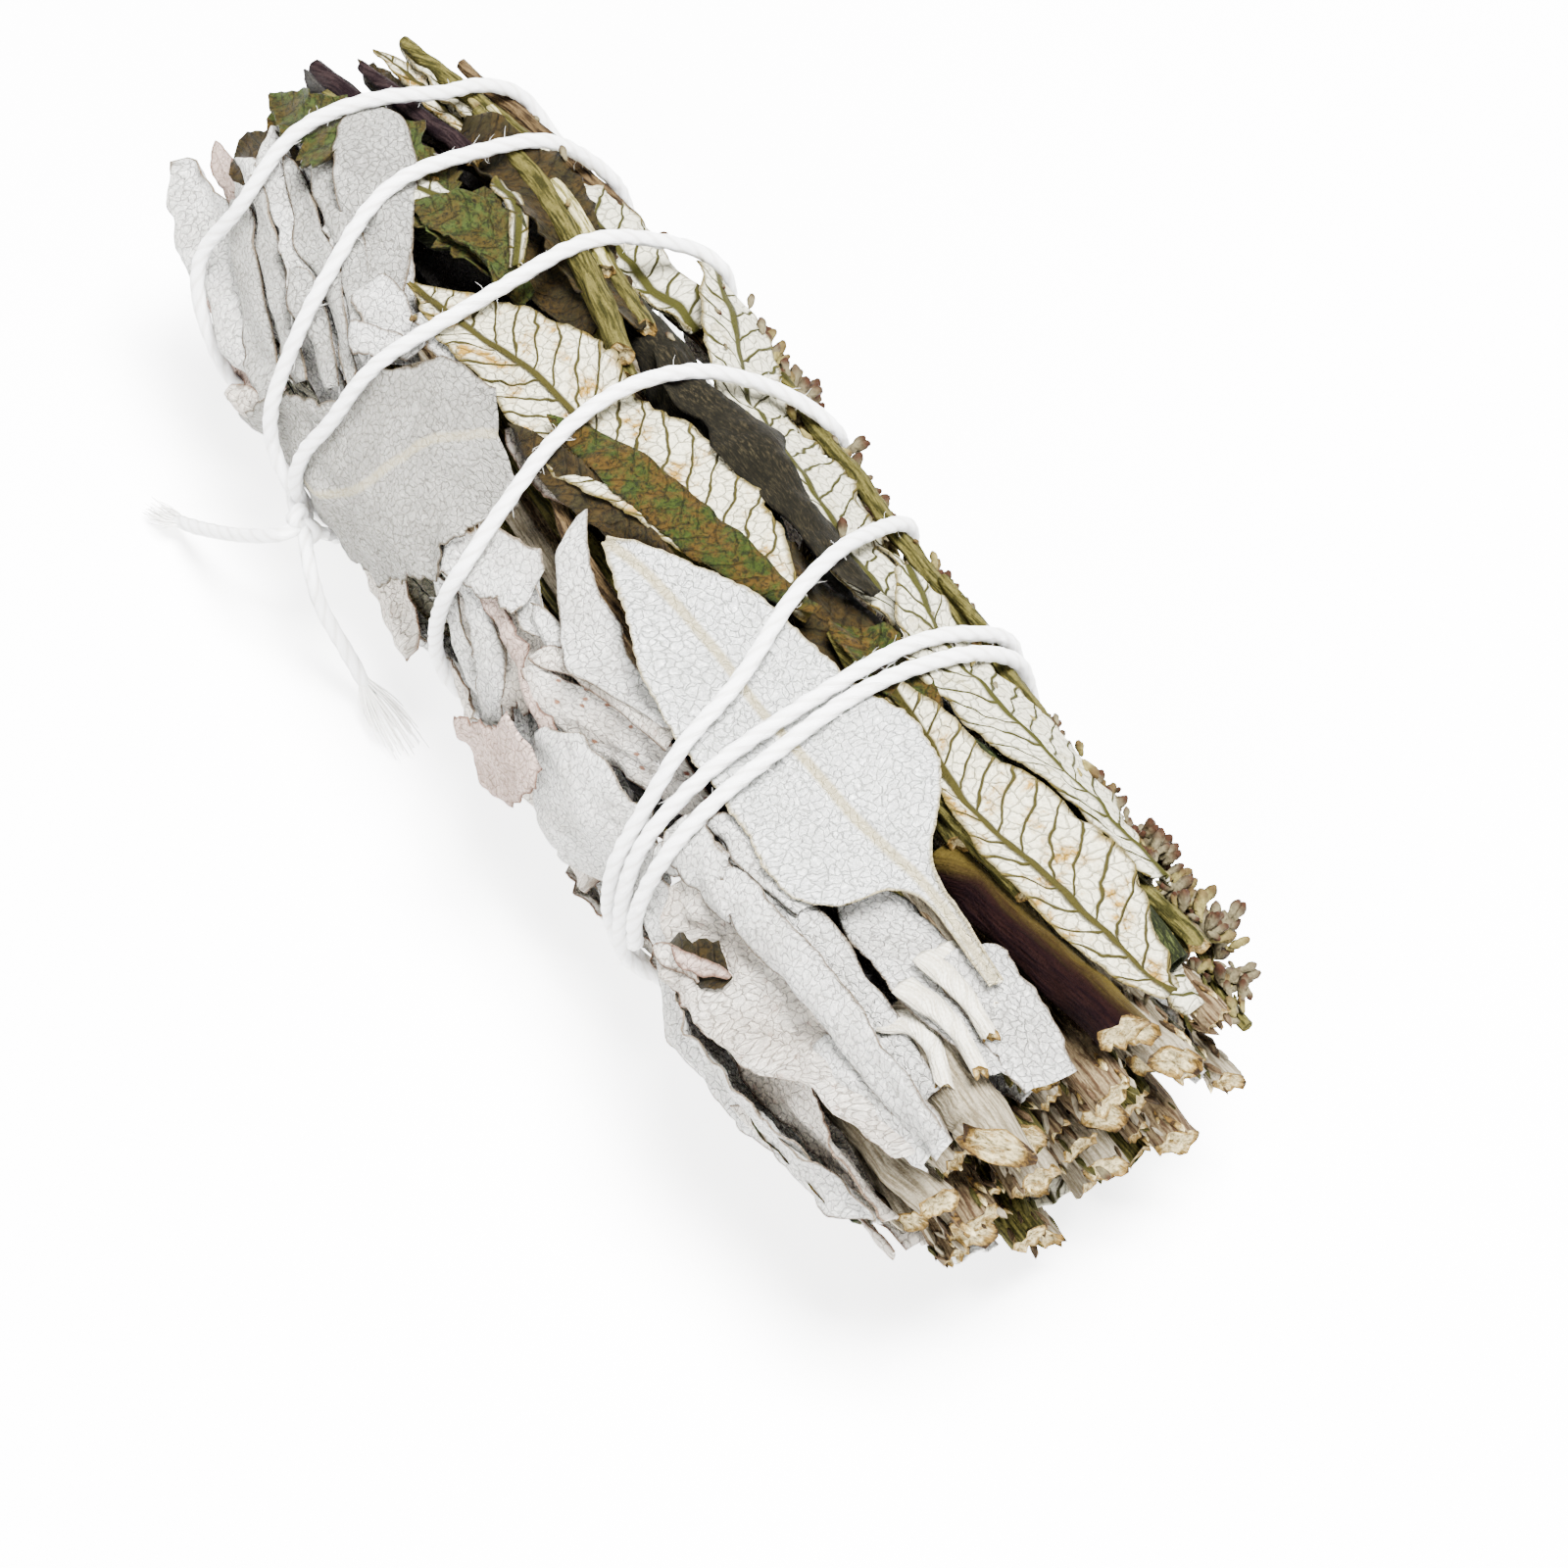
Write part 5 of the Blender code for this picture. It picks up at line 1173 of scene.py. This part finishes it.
def dress_bits(bed):
    """Crumbs of leaf and floret caught at the string and in the folds, florets in clusters along the right
    side, and chips broken off the cut stems."""
    draw = random.Random(31)
    bud = bud_shape()
    piece = Piece()
    spots = [(-24.5, -26), (-23, -19), (-31, -65), (-20, 66), (-15, 45), (-23.2, 2), (-44.5, -2), (24, 36),
             (10, 34)]
    spots += [(draw.uniform(-45, 52), draw.uniform(22, 110)) for _ in range(60)]
    spots += [(draw.gauss(draw.choice((-4, 14, 30, 46)), 4), draw.gauss(74, 9)) for _ in range(260)]
    spots += [(draw.uniform(-45, 52), draw.uniform(110, 170)) for _ in range(20)]
    for x, degrees in spots:
        angle = math.radians(degrees)
        radius = bed.at(np.array([x]), np.array([angle]))[0] + 0.05
        size = draw.uniform(0.6, 1.9)
        way = (draw.uniform(-1, 1), draw.uniform(-0.5, 0.5), draw.uniform(-0.5, 0.5))
        coat = 0 if draw.random() < 0.5 else 1
        add_bud(piece, bud, to_space(x, angle, radius), way, size, coat)
    for middle in (-28, -14, -9.5, 1.5, 12.5, 16, 28.5, 34, 40.5, 47):
        for _ in range(26):
            x, angle = draw.gauss(middle, 1.2), math.radians(draw.gauss(72, 3.5))
            radius = bed.at(np.array([x]), np.array([angle]))[0] + 0.1
            out = to_space(0.0, angle, 1.0)
            way = out + (draw.uniform(-1.2, 0.2), draw.uniform(-0.5, 0.5), draw.uniform(-0.5, 0.5))
            size = draw.uniform(1.4, 2.3)
            add_bud(piece, bud, to_space(x, angle, radius), way, size, draw.choice((0, 1, 1)))
    piece.build("caught_crumbs", ["straw", "floret"])

    piece = Piece()
    chip = chip_shape()
    for _ in range(620):
        offset, degrees, size, end, _, _ = draw.choice(CUT_STEMS)
        x, turn = end - draw.uniform(0.2, 5.0), draw.uniform(0, math.tau)
        stem = to_space(x, math.radians(degrees), cut_offset(offset, x))
        way = (1.0, draw.uniform(-0.5, 0.5), draw.uniform(-0.5, 0.5))
        place = stem + np.array((0, math.cos(turn), math.sin(turn))) * size
        add_bud(piece, chip, place, way, draw.uniform(0.7, 2.2), draw.randrange(5))
    piece.build("butt_chips", ["pith", "brown", "felted", "olive", "twig"], smooth=False)


def paint(code):
    """An sRGB hex colour as linear red, green, blue and alpha."""
    parts = [int(code[i:i + 2], 16) / 255 for i in (0, 2, 4)]
    return tuple(c / 12.92 if c <= 0.04045 else ((c + 0.055) / 1.055) ** 2.4 for c in parts) + (1.0,)


def add(tree, kind, inputs, output=0, **settings):
    """Add a node with its settings and inputs, values or links, and give one of its outputs."""
    made = tree.nodes.new(kind)
    for name, value in settings.items():
        setattr(made, name, value)
    for name, value in inputs.items():
        if isinstance(value, bpy.types.NodeSocket):
            tree.links.new(value, made.inputs[name])
        else:
            made.inputs[name].default_value = value
    return made.outputs[output]


def new_coat(name, roughness, sheen=0.0, gloss=0.06):
    """A new material, its node tree, and the link that reads a place on a leaf or stem, in millimetres along
    and across it. The gloss is far under a smooth skin's 0.5, as dry hairs scatter the light."""
    made = bpy.data.materials.new(name)
    made.use_nodes = True
    shader = made.node_tree.nodes["Principled BSDF"]
    shader.inputs["Roughness"].default_value = roughness
    shader.inputs["Specular IOR Level"].default_value = gloss
    shader.inputs["Sheen Weight"].default_value = sheen
    shader.inputs["Sheen Roughness"].default_value = 0.6
    return made, made.node_tree, add(made.node_tree, "ShaderNodeUVMap", {}, uv_map="place")


def finish_coat(made, colour, height, depth):
    """Link the colour, and the height in depth metres, to the shader, and give the finished material."""
    tree = made.node_tree
    shader = tree.nodes["Principled BSDF"]
    tree.links.new(colour, shader.inputs["Base Color"])
    bump = add(tree, "ShaderNodeBump", {"Height": height, "Distance": depth, "Strength": 1.0})
    tree.links.new(bump, shader.inputs["Normal"])
    return made


def painted(tree, under, over, value, start, end, amounts=(0.0, 1.0)):
    """A hex colour painted over a hex colour or link: by the first amount where a value is under its start,
    and by the second where it is past its end."""
    share = add(tree, "ShaderNodeMapRange", {"Value": value, "From Min": start, "From Max": end,
                                             "To Min": amounts[0], "To Max": amounts[1]},
                interpolation_type="SMOOTHSTEP")
    base = paint(under) if isinstance(under, str) else under
    return add(tree, "ShaderNodeMix", {0: share, 6: base, 7: paint(over)}, output=2, data_type="RGBA")


def grained(tree, under, grain, dark, bright, start=0.3, end=0.7):
    """A hex colour or link made darker and brighter by a grain, from one factor to the other."""
    factor = add(tree, "ShaderNodeMapRange", {"Value": grain, "From Min": start, "From Max": end,
                                              "To Min": dark, "To Max": bright})
    base = paint(under) if isinstance(under, str) else under
    return add(tree, "ShaderNodeMix", {0: 1.0, 6: base, 7: factor}, output=2, data_type="RGBA",
               blend_type="MULTIPLY")


def sage_leaf(name, ground, shade, line, rim, spots=0.0, midrib=0.0):
    """White sage leaf, dried: a felt of fine white hairs over skin that has shrunk to a net of puckers about
    0.6 mm across. It looks chalky and matt, darker in the net's lines, and brown at its very edge."""
    made, tree, place = new_coat(name, 0.92, 0.04)
    margin = add(tree, "ShaderNodeAttribute", {}, output=2, attribute_name="margin")
    stir = add(tree, "ShaderNodeTexNoise", {"Vector": place, "Scale": 1.1, "Detail": 3.0}, output=1)
    bent = add(tree, "ShaderNodeVectorMath", {0: stir, 1: (1.3, 1.3, 0)}, operation="MULTIPLY")
    moved = add(tree, "ShaderNodeVectorMath", {0: place, 1: bent}, operation="ADD")
    net = add(tree, "ShaderNodeTexVoronoi", {"Vector": moved, "Scale": 1.6}, feature="DISTANCE_TO_EDGE",
              voronoi_dimensions="2D")
    lines = add(tree, "ShaderNodeMapRange", {"Value": net, "From Min": 0.0, "From Max": 0.13,
                                             "To Min": 1.0, "To Max": 0.0}, interpolation_type="SMOOTHSTEP")
    cloud = add(tree, "ShaderNodeTexNoise", {"Vector": place, "Scale": 0.22, "Detail": 5.0, "Roughness": 0.6})
    grain = add(tree, "ShaderNodeTexNoise", {"Vector": place, "Scale": 2.4, "Detail": 5.0, "Roughness": 0.8,
                                             "Distortion": 1.0})
    body = painted(tree, ground, shade, cloud, 0.36, 0.66)
    faint = add(tree, "ShaderNodeMath", {0: lines, 1: 0.75}, operation="MULTIPLY")
    veined = add(tree, "ShaderNodeMix", {0: faint, 6: body, 7: paint(line)}, output=2, data_type="RGBA")
    speckled = grained(tree, veined, grain, 0.58, 1.24, 0.34, 0.66)
    uneven = add(tree, "ShaderNodeMath", {0: cloud, 1: 0.62}, operation="MULTIPLY")
    edged = painted(tree, speckled, rim, margin, 0.0, uneven, (0.9, 0.0))
    across = add(tree, "ShaderNodeSeparateXYZ", {0: place}, output=1)
    off_rib = add(tree, "ShaderNodeMath", {0: across}, operation="ABSOLUTE")
    ribbed = painted(tree, edged, "bdb088", off_rib, 0.2, 0.55, (midrib, 0.0))
    dots = add(tree, "ShaderNodeTexVoronoi", {"Vector": place, "Scale": 0.42}, voronoi_dimensions="2D")
    colour = painted(tree, ribbed, "7a4a28", dots, 0.05, 0.13, (spots, 0.0))
    sunk = add(tree, "ShaderNodeMath", {0: lines, 1: -0.4, 2: grain}, operation="MULTIPLY_ADD")
    return finish_coat(made, colour, sunk, 0.0011)


def side_veins(tree, place, spacing, thin):
    """How far a place is from a leaf's midrib, and a mask of the side veins, which leave it at 45 degrees,
    that many millimetres apart; thin is a vein's half width as a share of that spacing."""
    along = add(tree, "ShaderNodeSeparateXYZ", {0: place}, output=0)
    across = add(tree, "ShaderNodeSeparateXYZ", {0: place}, output=1)
    off = add(tree, "ShaderNodeMath", {0: across}, operation="ABSOLUTE")
    stir = add(tree, "ShaderNodeTexNoise", {"Vector": place, "Scale": 0.35, "Detail": 2.0, "Roughness": 0.5})
    slant = add(tree, "ShaderNodeMath", {0: off, 1: 1.0, 2: along}, operation="MULTIPLY_ADD")
    waved = add(tree, "ShaderNodeMath", {0: stir, 1: 2.4, 2: slant}, operation="MULTIPLY_ADD")
    right = add(tree, "ShaderNodeMath", {0: across, 1: 0.0}, operation="GREATER_THAN")
    shifted = add(tree, "ShaderNodeMath", {0: right, 1: 1.0, 2: waved}, operation="MULTIPLY_ADD")
    spaced = add(tree, "ShaderNodeMath", {0: shifted, 1: spacing}, operation="DIVIDE")
    between = add(tree, "ShaderNodeMath", {0: spaced, 1: 0.5}, operation="PINGPONG")
    veins = add(tree, "ShaderNodeMapRange", {"Value": between, "From Min": thin, "From Max": 3 * thin,
                                             "To Min": 1.0, "To Max": 0.0}, interpolation_type="SMOOTHSTEP")
    return off, veins


def yerba_leaf(name, ground, vein, stain, stained):
    """Yerba santa leaf seen from below, dried: cream felt between raised olive veins. Side veins leave the
    midrib every 2.3 mm, and a finer net fills the panels. Old resin stains it ochre-brown in patches."""
    made, tree, place = new_coat(name, 0.82)
    margin = add(tree, "ShaderNodeAttribute", {}, output=2, attribute_name="margin")
    off, side = side_veins(tree, place, 2.3, 0.03)
    stirred = add(tree, "ShaderNodeTexNoise", {"Vector": place, "Scale": 0.9, "Detail": 3.0}, output=1)
    moved = add(tree, "ShaderNodeVectorMath", {0: place, 1: stirred}, operation="ADD")
    net = add(tree, "ShaderNodeTexVoronoi", {"Vector": moved, "Scale": 1.15}, feature="DISTANCE_TO_EDGE",
              voronoi_dimensions="2D")
    fine = add(tree, "ShaderNodeMapRange", {"Value": net, "From Min": 0.01, "From Max": 0.1,
                                            "To Min": 0.42, "To Max": 0.0}, interpolation_type="SMOOTHSTEP")
    midrib = add(tree, "ShaderNodeMapRange", {"Value": off, "From Min": 0.2, "From Max": 0.42,
                                              "To Min": 1.0, "To Max": 0.0}, interpolation_type="SMOOTHSTEP")
    veins = add(tree, "ShaderNodeMath", {0: side, 1: fine}, operation="MAXIMUM")
    all_veins = add(tree, "ShaderNodeMath", {0: veins, 1: midrib}, operation="MAXIMUM")
    grain = add(tree, "ShaderNodeTexNoise", {"Vector": place, "Scale": 3.6, "Detail": 4.0, "Roughness": 0.75})
    cloud = add(tree, "ShaderNodeTexNoise", {"Vector": place, "Scale": 0.3, "Detail": 5.0, "Roughness": 0.7})
    felt = grained(tree, ground, grain, 0.6, 1.2)
    aged = painted(tree, felt, stain, cloud, 0.6 - 0.12 * stained, 0.64, (0.0, stained))
    drawn = add(tree, "ShaderNodeMix", {0: all_veins, 6: aged, 7: paint(vein)}, output=2, data_type="RGBA")
    colour = painted(tree, drawn, "4e4420", margin, 0.05, 0.5, (0.9, 0.0))
    height = add(tree, "ShaderNodeMath", {0: all_veins, 1: 1.2, 2: grain}, operation="MULTIPLY_ADD")
    return finish_coat(made, colour, height, 0.0004)


def resin_leaf(name, ground, blotch, dark):
    """Upper side of a dried yerba santa leaf: leathery olive, with sunken veins every 1.8 mm and blotches of
    dried resin, which leave it slightly shiny."""
    made, tree, place = new_coat(name, 0.6, gloss=0.08)
    cloud = add(tree, "ShaderNodeTexNoise", {"Vector": place, "Scale": 0.5, "Detail": 6.0, "Roughness": 0.75})
    grain = add(tree, "ShaderNodeTexNoise", {"Vector": place, "Scale": 2.2, "Detail": 6.0, "Roughness": 0.8,
                                             "Distortion": 1.2})
    veins = side_veins(tree, place, 1.8, 0.03)[1]
    sunk = add(tree, "ShaderNodeMath", {0: veins, 1: 0.45}, operation="MULTIPLY")
    body = painted(tree, ground, blotch, cloud, 0.42, 0.58)
    marked = painted(tree, body, dark, grain, 0.46, 0.6, (0.0, 0.85))
    colour = add(tree, "ShaderNodeMix", {0: sunk, 6: marked, 7: paint(dark)}, output=2, data_type="RGBA")
    height = add(tree, "ShaderNodeMath", {0: sunk, 1: -0.9, 2: grain}, operation="MULTIPLY_ADD")
    return finish_coat(made, colour, height, 0.00035)


def fuzzy_roll(name, ground, hair):
    """Yerba santa leaf rolled up with its hairy side out: a near-black olive skin under short grey-brown
    hairs, drawn as streaks about 0.15 mm wide and 0.7 mm long."""
    made, tree, place = new_coat(name, 0.95)
    combed = add(tree, "ShaderNodeMapping", {"Vector": place, "Scale": (1.0, 5.0, 1.0),
                                             "Rotation": (0, 0, 0.35)})
    streak = add(tree, "ShaderNodeTexNoise", {"Vector": combed, "Scale": 1.4, "Detail": 5.0,
                                              "Roughness": 0.75, "Distortion": 0.8})
    cloud = add(tree, "ShaderNodeTexNoise", {"Vector": place, "Scale": 0.5, "Detail": 3.0})
    hairs = add(tree, "ShaderNodeMapRange", {"Value": streak, "From Min": 0.47, "From Max": 0.68},
                interpolation_type="SMOOTHSTEP")
    patch = add(tree, "ShaderNodeMapRange", {"Value": cloud, "From Min": 0.3, "From Max": 0.7,
                                             "To Min": 0.25})
    share = add(tree, "ShaderNodeMath", {0: hairs, 1: patch}, operation="MULTIPLY")
    colour = add(tree, "ShaderNodeMix", {0: share, 6: paint(ground), 7: paint(hair)}, output=2,
                 data_type="RGBA")
    return finish_coat(made, colour, streak, 0.00022)


def bark(name, ground, stripe, roughness=0.75, lit=None):
    """Thin bark or skin of a dried herb stem: shrunk to fine ridges along it, 0.3 mm apart, in two tones. One
    side may get a painted highlight, a lighter band with ragged edges; lit gives its colour and its place
    round the stem."""
    made, tree, place = new_coat(name, roughness, gloss=0.02)
    drawn_out = add(tree, "ShaderNodeMapping", {"Vector": place, "Scale": (0.16, 1.6, 1.0)})
    ridges = add(tree, "ShaderNodeTexNoise", {"Vector": drawn_out, "Scale": 2.0, "Detail": 5.0,
                                              "Roughness": 0.65})
    grain = add(tree, "ShaderNodeTexNoise", {"Vector": place, "Scale": 5.0, "Detail": 3.0})
    body = painted(tree, ground, stripe, ridges, 0.4, 0.6)
    # Painted highlight: a lighter band along one side of the stem, with ragged edges.
    if lit:
        around = add(tree, "ShaderNodeSeparateXYZ", {0: place}, output=1)
        beside = add(tree, "ShaderNodeMath", {0: around, 1: -lit[1]}, operation="ADD")
        off = add(tree, "ShaderNodeMath", {0: beside}, operation="ABSOLUTE")
        frayed = add(tree, "ShaderNodeMath", {0: ridges, 1: 2.0, 2: off}, operation="MULTIPLY_ADD")
        body = painted(tree, body, lit[0], frayed, 1.2, 3.6, (1.0, 0.0))
    colour = grained(tree, body, grain, 0.75, 1.15)
    height = add(tree, "ShaderNodeMath", {0: ridges, 1: 2.0, 2: grain}, operation="MULTIPLY_ADD")
    return finish_coat(made, colour, height, 0.00018)


def cut_pith(name):
    """Cut end of a dried stem: pale spongy pith, ochre in patches, ringed by darker wood and brown skin."""
    made, tree, place = new_coat(name, 0.85)
    margin = add(tree, "ShaderNodeAttribute", {}, output=2, attribute_name="margin")
    grain = add(tree, "ShaderNodeTexNoise", {"Vector": place, "Scale": 3.0, "Detail": 5.0, "Roughness": 0.75})
    uneven = add(tree, "ShaderNodeMath", {0: grain, 1: 0.5, 2: margin}, operation="MULTIPLY_ADD")
    ring = painted(tree, "2a1d10", "7d6638", uneven, 0.12, 0.34)
    faced = painted(tree, ring, "b8a87c", uneven, 0.34, 0.7)
    cloud = add(tree, "ShaderNodeTexNoise", {"Vector": place, "Scale": 1.1, "Detail": 4.0, "Roughness": 0.7})
    aged = painted(tree, faced, "6a5124", cloud, 0.46, 0.62, (0.0, 0.85))
    colour = grained(tree, aged, grain, 0.25, 1.15, 0.38, 0.6)
    return finish_coat(made, colour, grain, 0.0003)


def floret_coat(name, base, tip):
    """Dried mugwort floret: papery grey-green bracts that turn red-brown towards the tip."""
    made, tree, place = new_coat(name, 0.85)
    height = add(tree, "ShaderNodeSeparateXYZ", {0: place}, output=0)
    spot = add(tree, "ShaderNodeTexCoord", {}, output=3)
    change = add(tree, "ShaderNodeTexNoise", {"Vector": spot, "Scale": 420.0, "Detail": 3.0})
    grain = add(tree, "ShaderNodeTexNoise", {"Vector": spot, "Scale": 3000.0, "Detail": 3.0})
    mixed = add(tree, "ShaderNodeMath", {0: change, 1: 1.1, 2: height}, operation="MULTIPLY_ADD")
    body = painted(tree, base, tip, mixed, 0.95, 1.5)
    colour = grained(tree, body, grain, 0.7, 1.2)
    return finish_coat(made, colour, grain, 0.0002)


def cotton_yarn(name):
    """Undyed soft cotton yarn, three plies lightly twisted: bright white and matt, with fibres 0.1 mm wide
    along each ply, and a faint grey of painted shade where one ply meets the next."""
    made, tree, place = new_coat(name, 0.95, 0.1)
    crown = add(tree, "ShaderNodeAttribute", {}, output=2, attribute_name="margin")
    combed = add(tree, "ShaderNodeMapping", {"Vector": place, "Scale": (0.6, 5.0, 1.0)})
    fibres = add(tree, "ShaderNodeTexNoise", {"Vector": combed, "Scale": 2.0, "Detail": 4.0,
                                              "Roughness": 0.7})
    raised = add(tree, "ShaderNodeMath", {0: fibres, 1: 0.6, 2: crown}, operation="MULTIPLY_ADD")
    # Painted shade: faint grey in the grooves where one ply meets the next, white on each ply's crown.
    colour = painted(tree, "e2e0db", "fdfdfc", raised, 0.3, 1.1)
    return finish_coat(made, colour, fibres, 0.0003)


COATS = {
    "sage": sage_leaf("dried_white_sage", "e6e5e0", "d2d0c9", "86837b", "5f4e34"),
    "beige": sage_leaf("dried_white_sage_beige", "dfd8cc", "c8beb0", "7e7466", "5a4026", spots=0.3),
    "spotted": sage_leaf("dried_white_sage_spotted", "e4dfd6", "d2cabe", "82796c", "5a3c20", spots=0.9),
    "pink": sage_leaf("dried_white_sage_pink", "c8b0a3", "ae978a", "7c695d", "5c3e2a"),
    "broad": sage_leaf("dried_white_sage_broad", "a8a69e", "98968e", "5e5a52", "4a3f2c", midrib=0.45),
    "pale": sage_leaf("dried_white_sage_pale", "f4f5f2", "e8e9e5", "94958d", "9a8c62", midrib=0.9),
    # Painted shade: a darker copy of the white sage coat, with the same brown edge, for the folded leaves at
    # the tip.
    "folded": sage_leaf("dried_white_sage_folded_painted_shade", "b4b3ac", "a2a099", "706d64", "5f4e34"),
    # Painted shade: a near-black copy of the white sage coat, for leaves that show only in the shadowed gaps
    # between others.
    "shade": sage_leaf("dried_white_sage_painted_shade", "2c2820", "1c1914", "120f0b", "15100a"),
    "yerba": yerba_leaf("yerba_santa_underside", "bfbba5", "2b2a0e", "6c5e20", 0.4),
    "stained": yerba_leaf("yerba_santa_underside_stained", "c3bea4", "2c280e", "7c5c10", 0.95),
    "green": resin_leaf("yerba_santa_upper_side", "232c0c", "38290c", "070803"),
    "dark_green": resin_leaf("yerba_santa_upper_side_aged", "2a3314", "30280e", "090a05"),
    "dark": resin_leaf("yerba_santa_upper_side_dark", "1f1b0c", "2a200c", "070503"),
    "fuzzy": fuzzy_roll("yerba_santa_rolled", "0a0905", "2e291c"),
    "fuzzy_green": fuzzy_roll("yerba_santa_rolled_green", "0d1006", "3c4222"),
    "purple": bark("yerba_santa_stem_skin", "0d0709", "1f1717", 0.7),
    # A purple stem with a painted highlight along one side.
    "painted_highlight_stem": bark("yerba_santa_stem_skin_painted_highlight", "070203", "100605", 0.7, lit=("342b10", 6.6)),
    "olive": bark("mugwort_stem_skin", "1e1d0b", "484322"),
    "twig": bark("old_twig_bark", "1a130c", "4a3c28"),
    "felted": bark("white_sage_stem_skin", "7a7261", "544c3c", 0.9),
    "petiole": bark("white_sage_leaf_stalk", "c2beb0", "a39c8a", 0.9),
    "petiole_olive": bark("yerba_santa_leaf_stalk", "a09872", "4a4620"),
    "brown": bark("brown_stem_skin", "33261a", "62553f"),
    # Painted shade: the near-black packed core between the stems.
    "heart": bark("packed_stem_core_painted_shade", "060403", "0e0a07", 0.9),
    "pith": cut_pith("cut_stem_pith"),
    "floret": floret_coat("mugwort_floret", "4c4634", "24140b"),
    "straw": floret_coat("mugwort_straw", "5a522f", "382c18"),
    "cotton": cotton_yarn("cotton_yarn"),
}


def dress_bundle():
    """Lay everything from the inside out."""
    bed = Bed()
    dress_bunch(bed)
    dress_scraps("tip_heart_leaves", TIP_HEART, bed, 500)
    dress_scraps("butt_heart_leaves", BUTT_HEART, bed, 560)
    dress_leaves(INNER_LEAVES, bed, 600)
    dress_leaves(HIDDEN_LEAVES, bed, 700)
    dress_stems(bed)
    dress_rolls(bed)
    dress_sprays(bed)
    dress_scraps("right_side_leaves", RIGHT_SCRAPS, bed, 800)
    dress_scraps("tip_scraps", TIP_SCRAPS, bed, 850)
    dress_leaves(UNDER_LEAVES, bed, 900)
    dress_twigs(bed)
    dress_scraps("tip_folded_leaves", TIP_FOLDS, bed, 1000)
    dress_scraps("middle_scraps", MIDDLE_SCRAPS, bed, 1100)
    dress_scraps("leaf_chips", CHIPS, bed, 1150)
    dress_leaves(SHOWN_LEAVES, bed, 1200)
    dress_scraps("green_side_leaves", GREEN_SIDE, bed, 1300)
    dress_scraps("butt_scraps", BUTT_SCRAPS, bed, 1350)
    dress_leaves(TOP_LEAVES, bed, 1400)
    dress_leaves(RESTING_LEAVES, bed, 1500)
    dress_bits(bed)
    dress_string(bed)


def light(name, place, size, power):
    """A square soft white light, aimed at the bundle."""
    data = bpy.data.lights.new(name, "AREA")
    data.size = size
    data.energy = power
    lamp = bpy.data.objects.new(name, data)
    bpy.context.scene.collection.objects.link(lamp)
    lamp.location = place
    lamp.rotation_euler = (Vector((0, 0, 0.02)) - lamp.location).to_track_quat("-Z", "Y").to_euler()


def studio():
    """White floor, a soft sky and three soft lights."""
    bpy.ops.object.select_all(action="DESELECT")
    bpy.ops.mesh.primitive_plane_add(size=4.0, location=(0, 0, 0))
    floor = bpy.context.object
    floor.name = "floor"
    # White paper, lit so that it burns out to white as a light table does.
    paper = bpy.data.materials.new("white_paper")
    paper.use_nodes = True
    shader = paper.node_tree.nodes["Principled BSDF"]
    for name, value in (("Base Color", paint("fafafa")), ("Roughness", 0.9), ("Specular IOR Level", 0.06),
                        ("Emission Color", paint("ffffff")), ("Emission Strength", 3.2)):
        shader.inputs[name].default_value = value
    floor.data.materials.append(paper)
    world = bpy.data.worlds.new("soft_sky")
    world.use_nodes = True
    sky = world.node_tree.nodes["Background"]
    sky.inputs["Color"].default_value = paint("f7f9fc")
    sky.inputs["Strength"].default_value = 0.32
    bpy.context.scene.world = world
    light("key", (0.10, 0.08, 0.62), 0.24, 45.0)
    light("fill", (0.35, -0.55, 0.45), 0.5, 14.0)
    light("left", (-0.50, -0.10, 0.35), 0.4, 4.0)


def camera():
    """The photograph's view: 57 degrees above the floor, a long lens, the stick's tip at the upper left."""
    data = bpy.data.cameras.new("camera")
    data.sensor_width = SENSOR
    data.lens = SENSOR / 2 / math.tan(math.radians(VIEW_WIDTH / 2))
    data.clip_start = 0.01
    made = bpy.data.objects.new("camera", data)
    bpy.context.scene.collection.objects.link(made)
    azimuth, elevation = math.radians(VIEW_AZIMUTH), math.radians(VIEW_ELEVATION)
    back = Vector((math.sin(azimuth) * math.cos(elevation), -math.cos(azimuth) * math.cos(elevation),
                   math.sin(elevation)))
    made.location = CAMERA_PLACE
    made.rotation_euler = back.to_track_quat("Z", "Y").to_euler()
    bpy.context.scene.camera = made


dress_bundle()
studio()
camera()
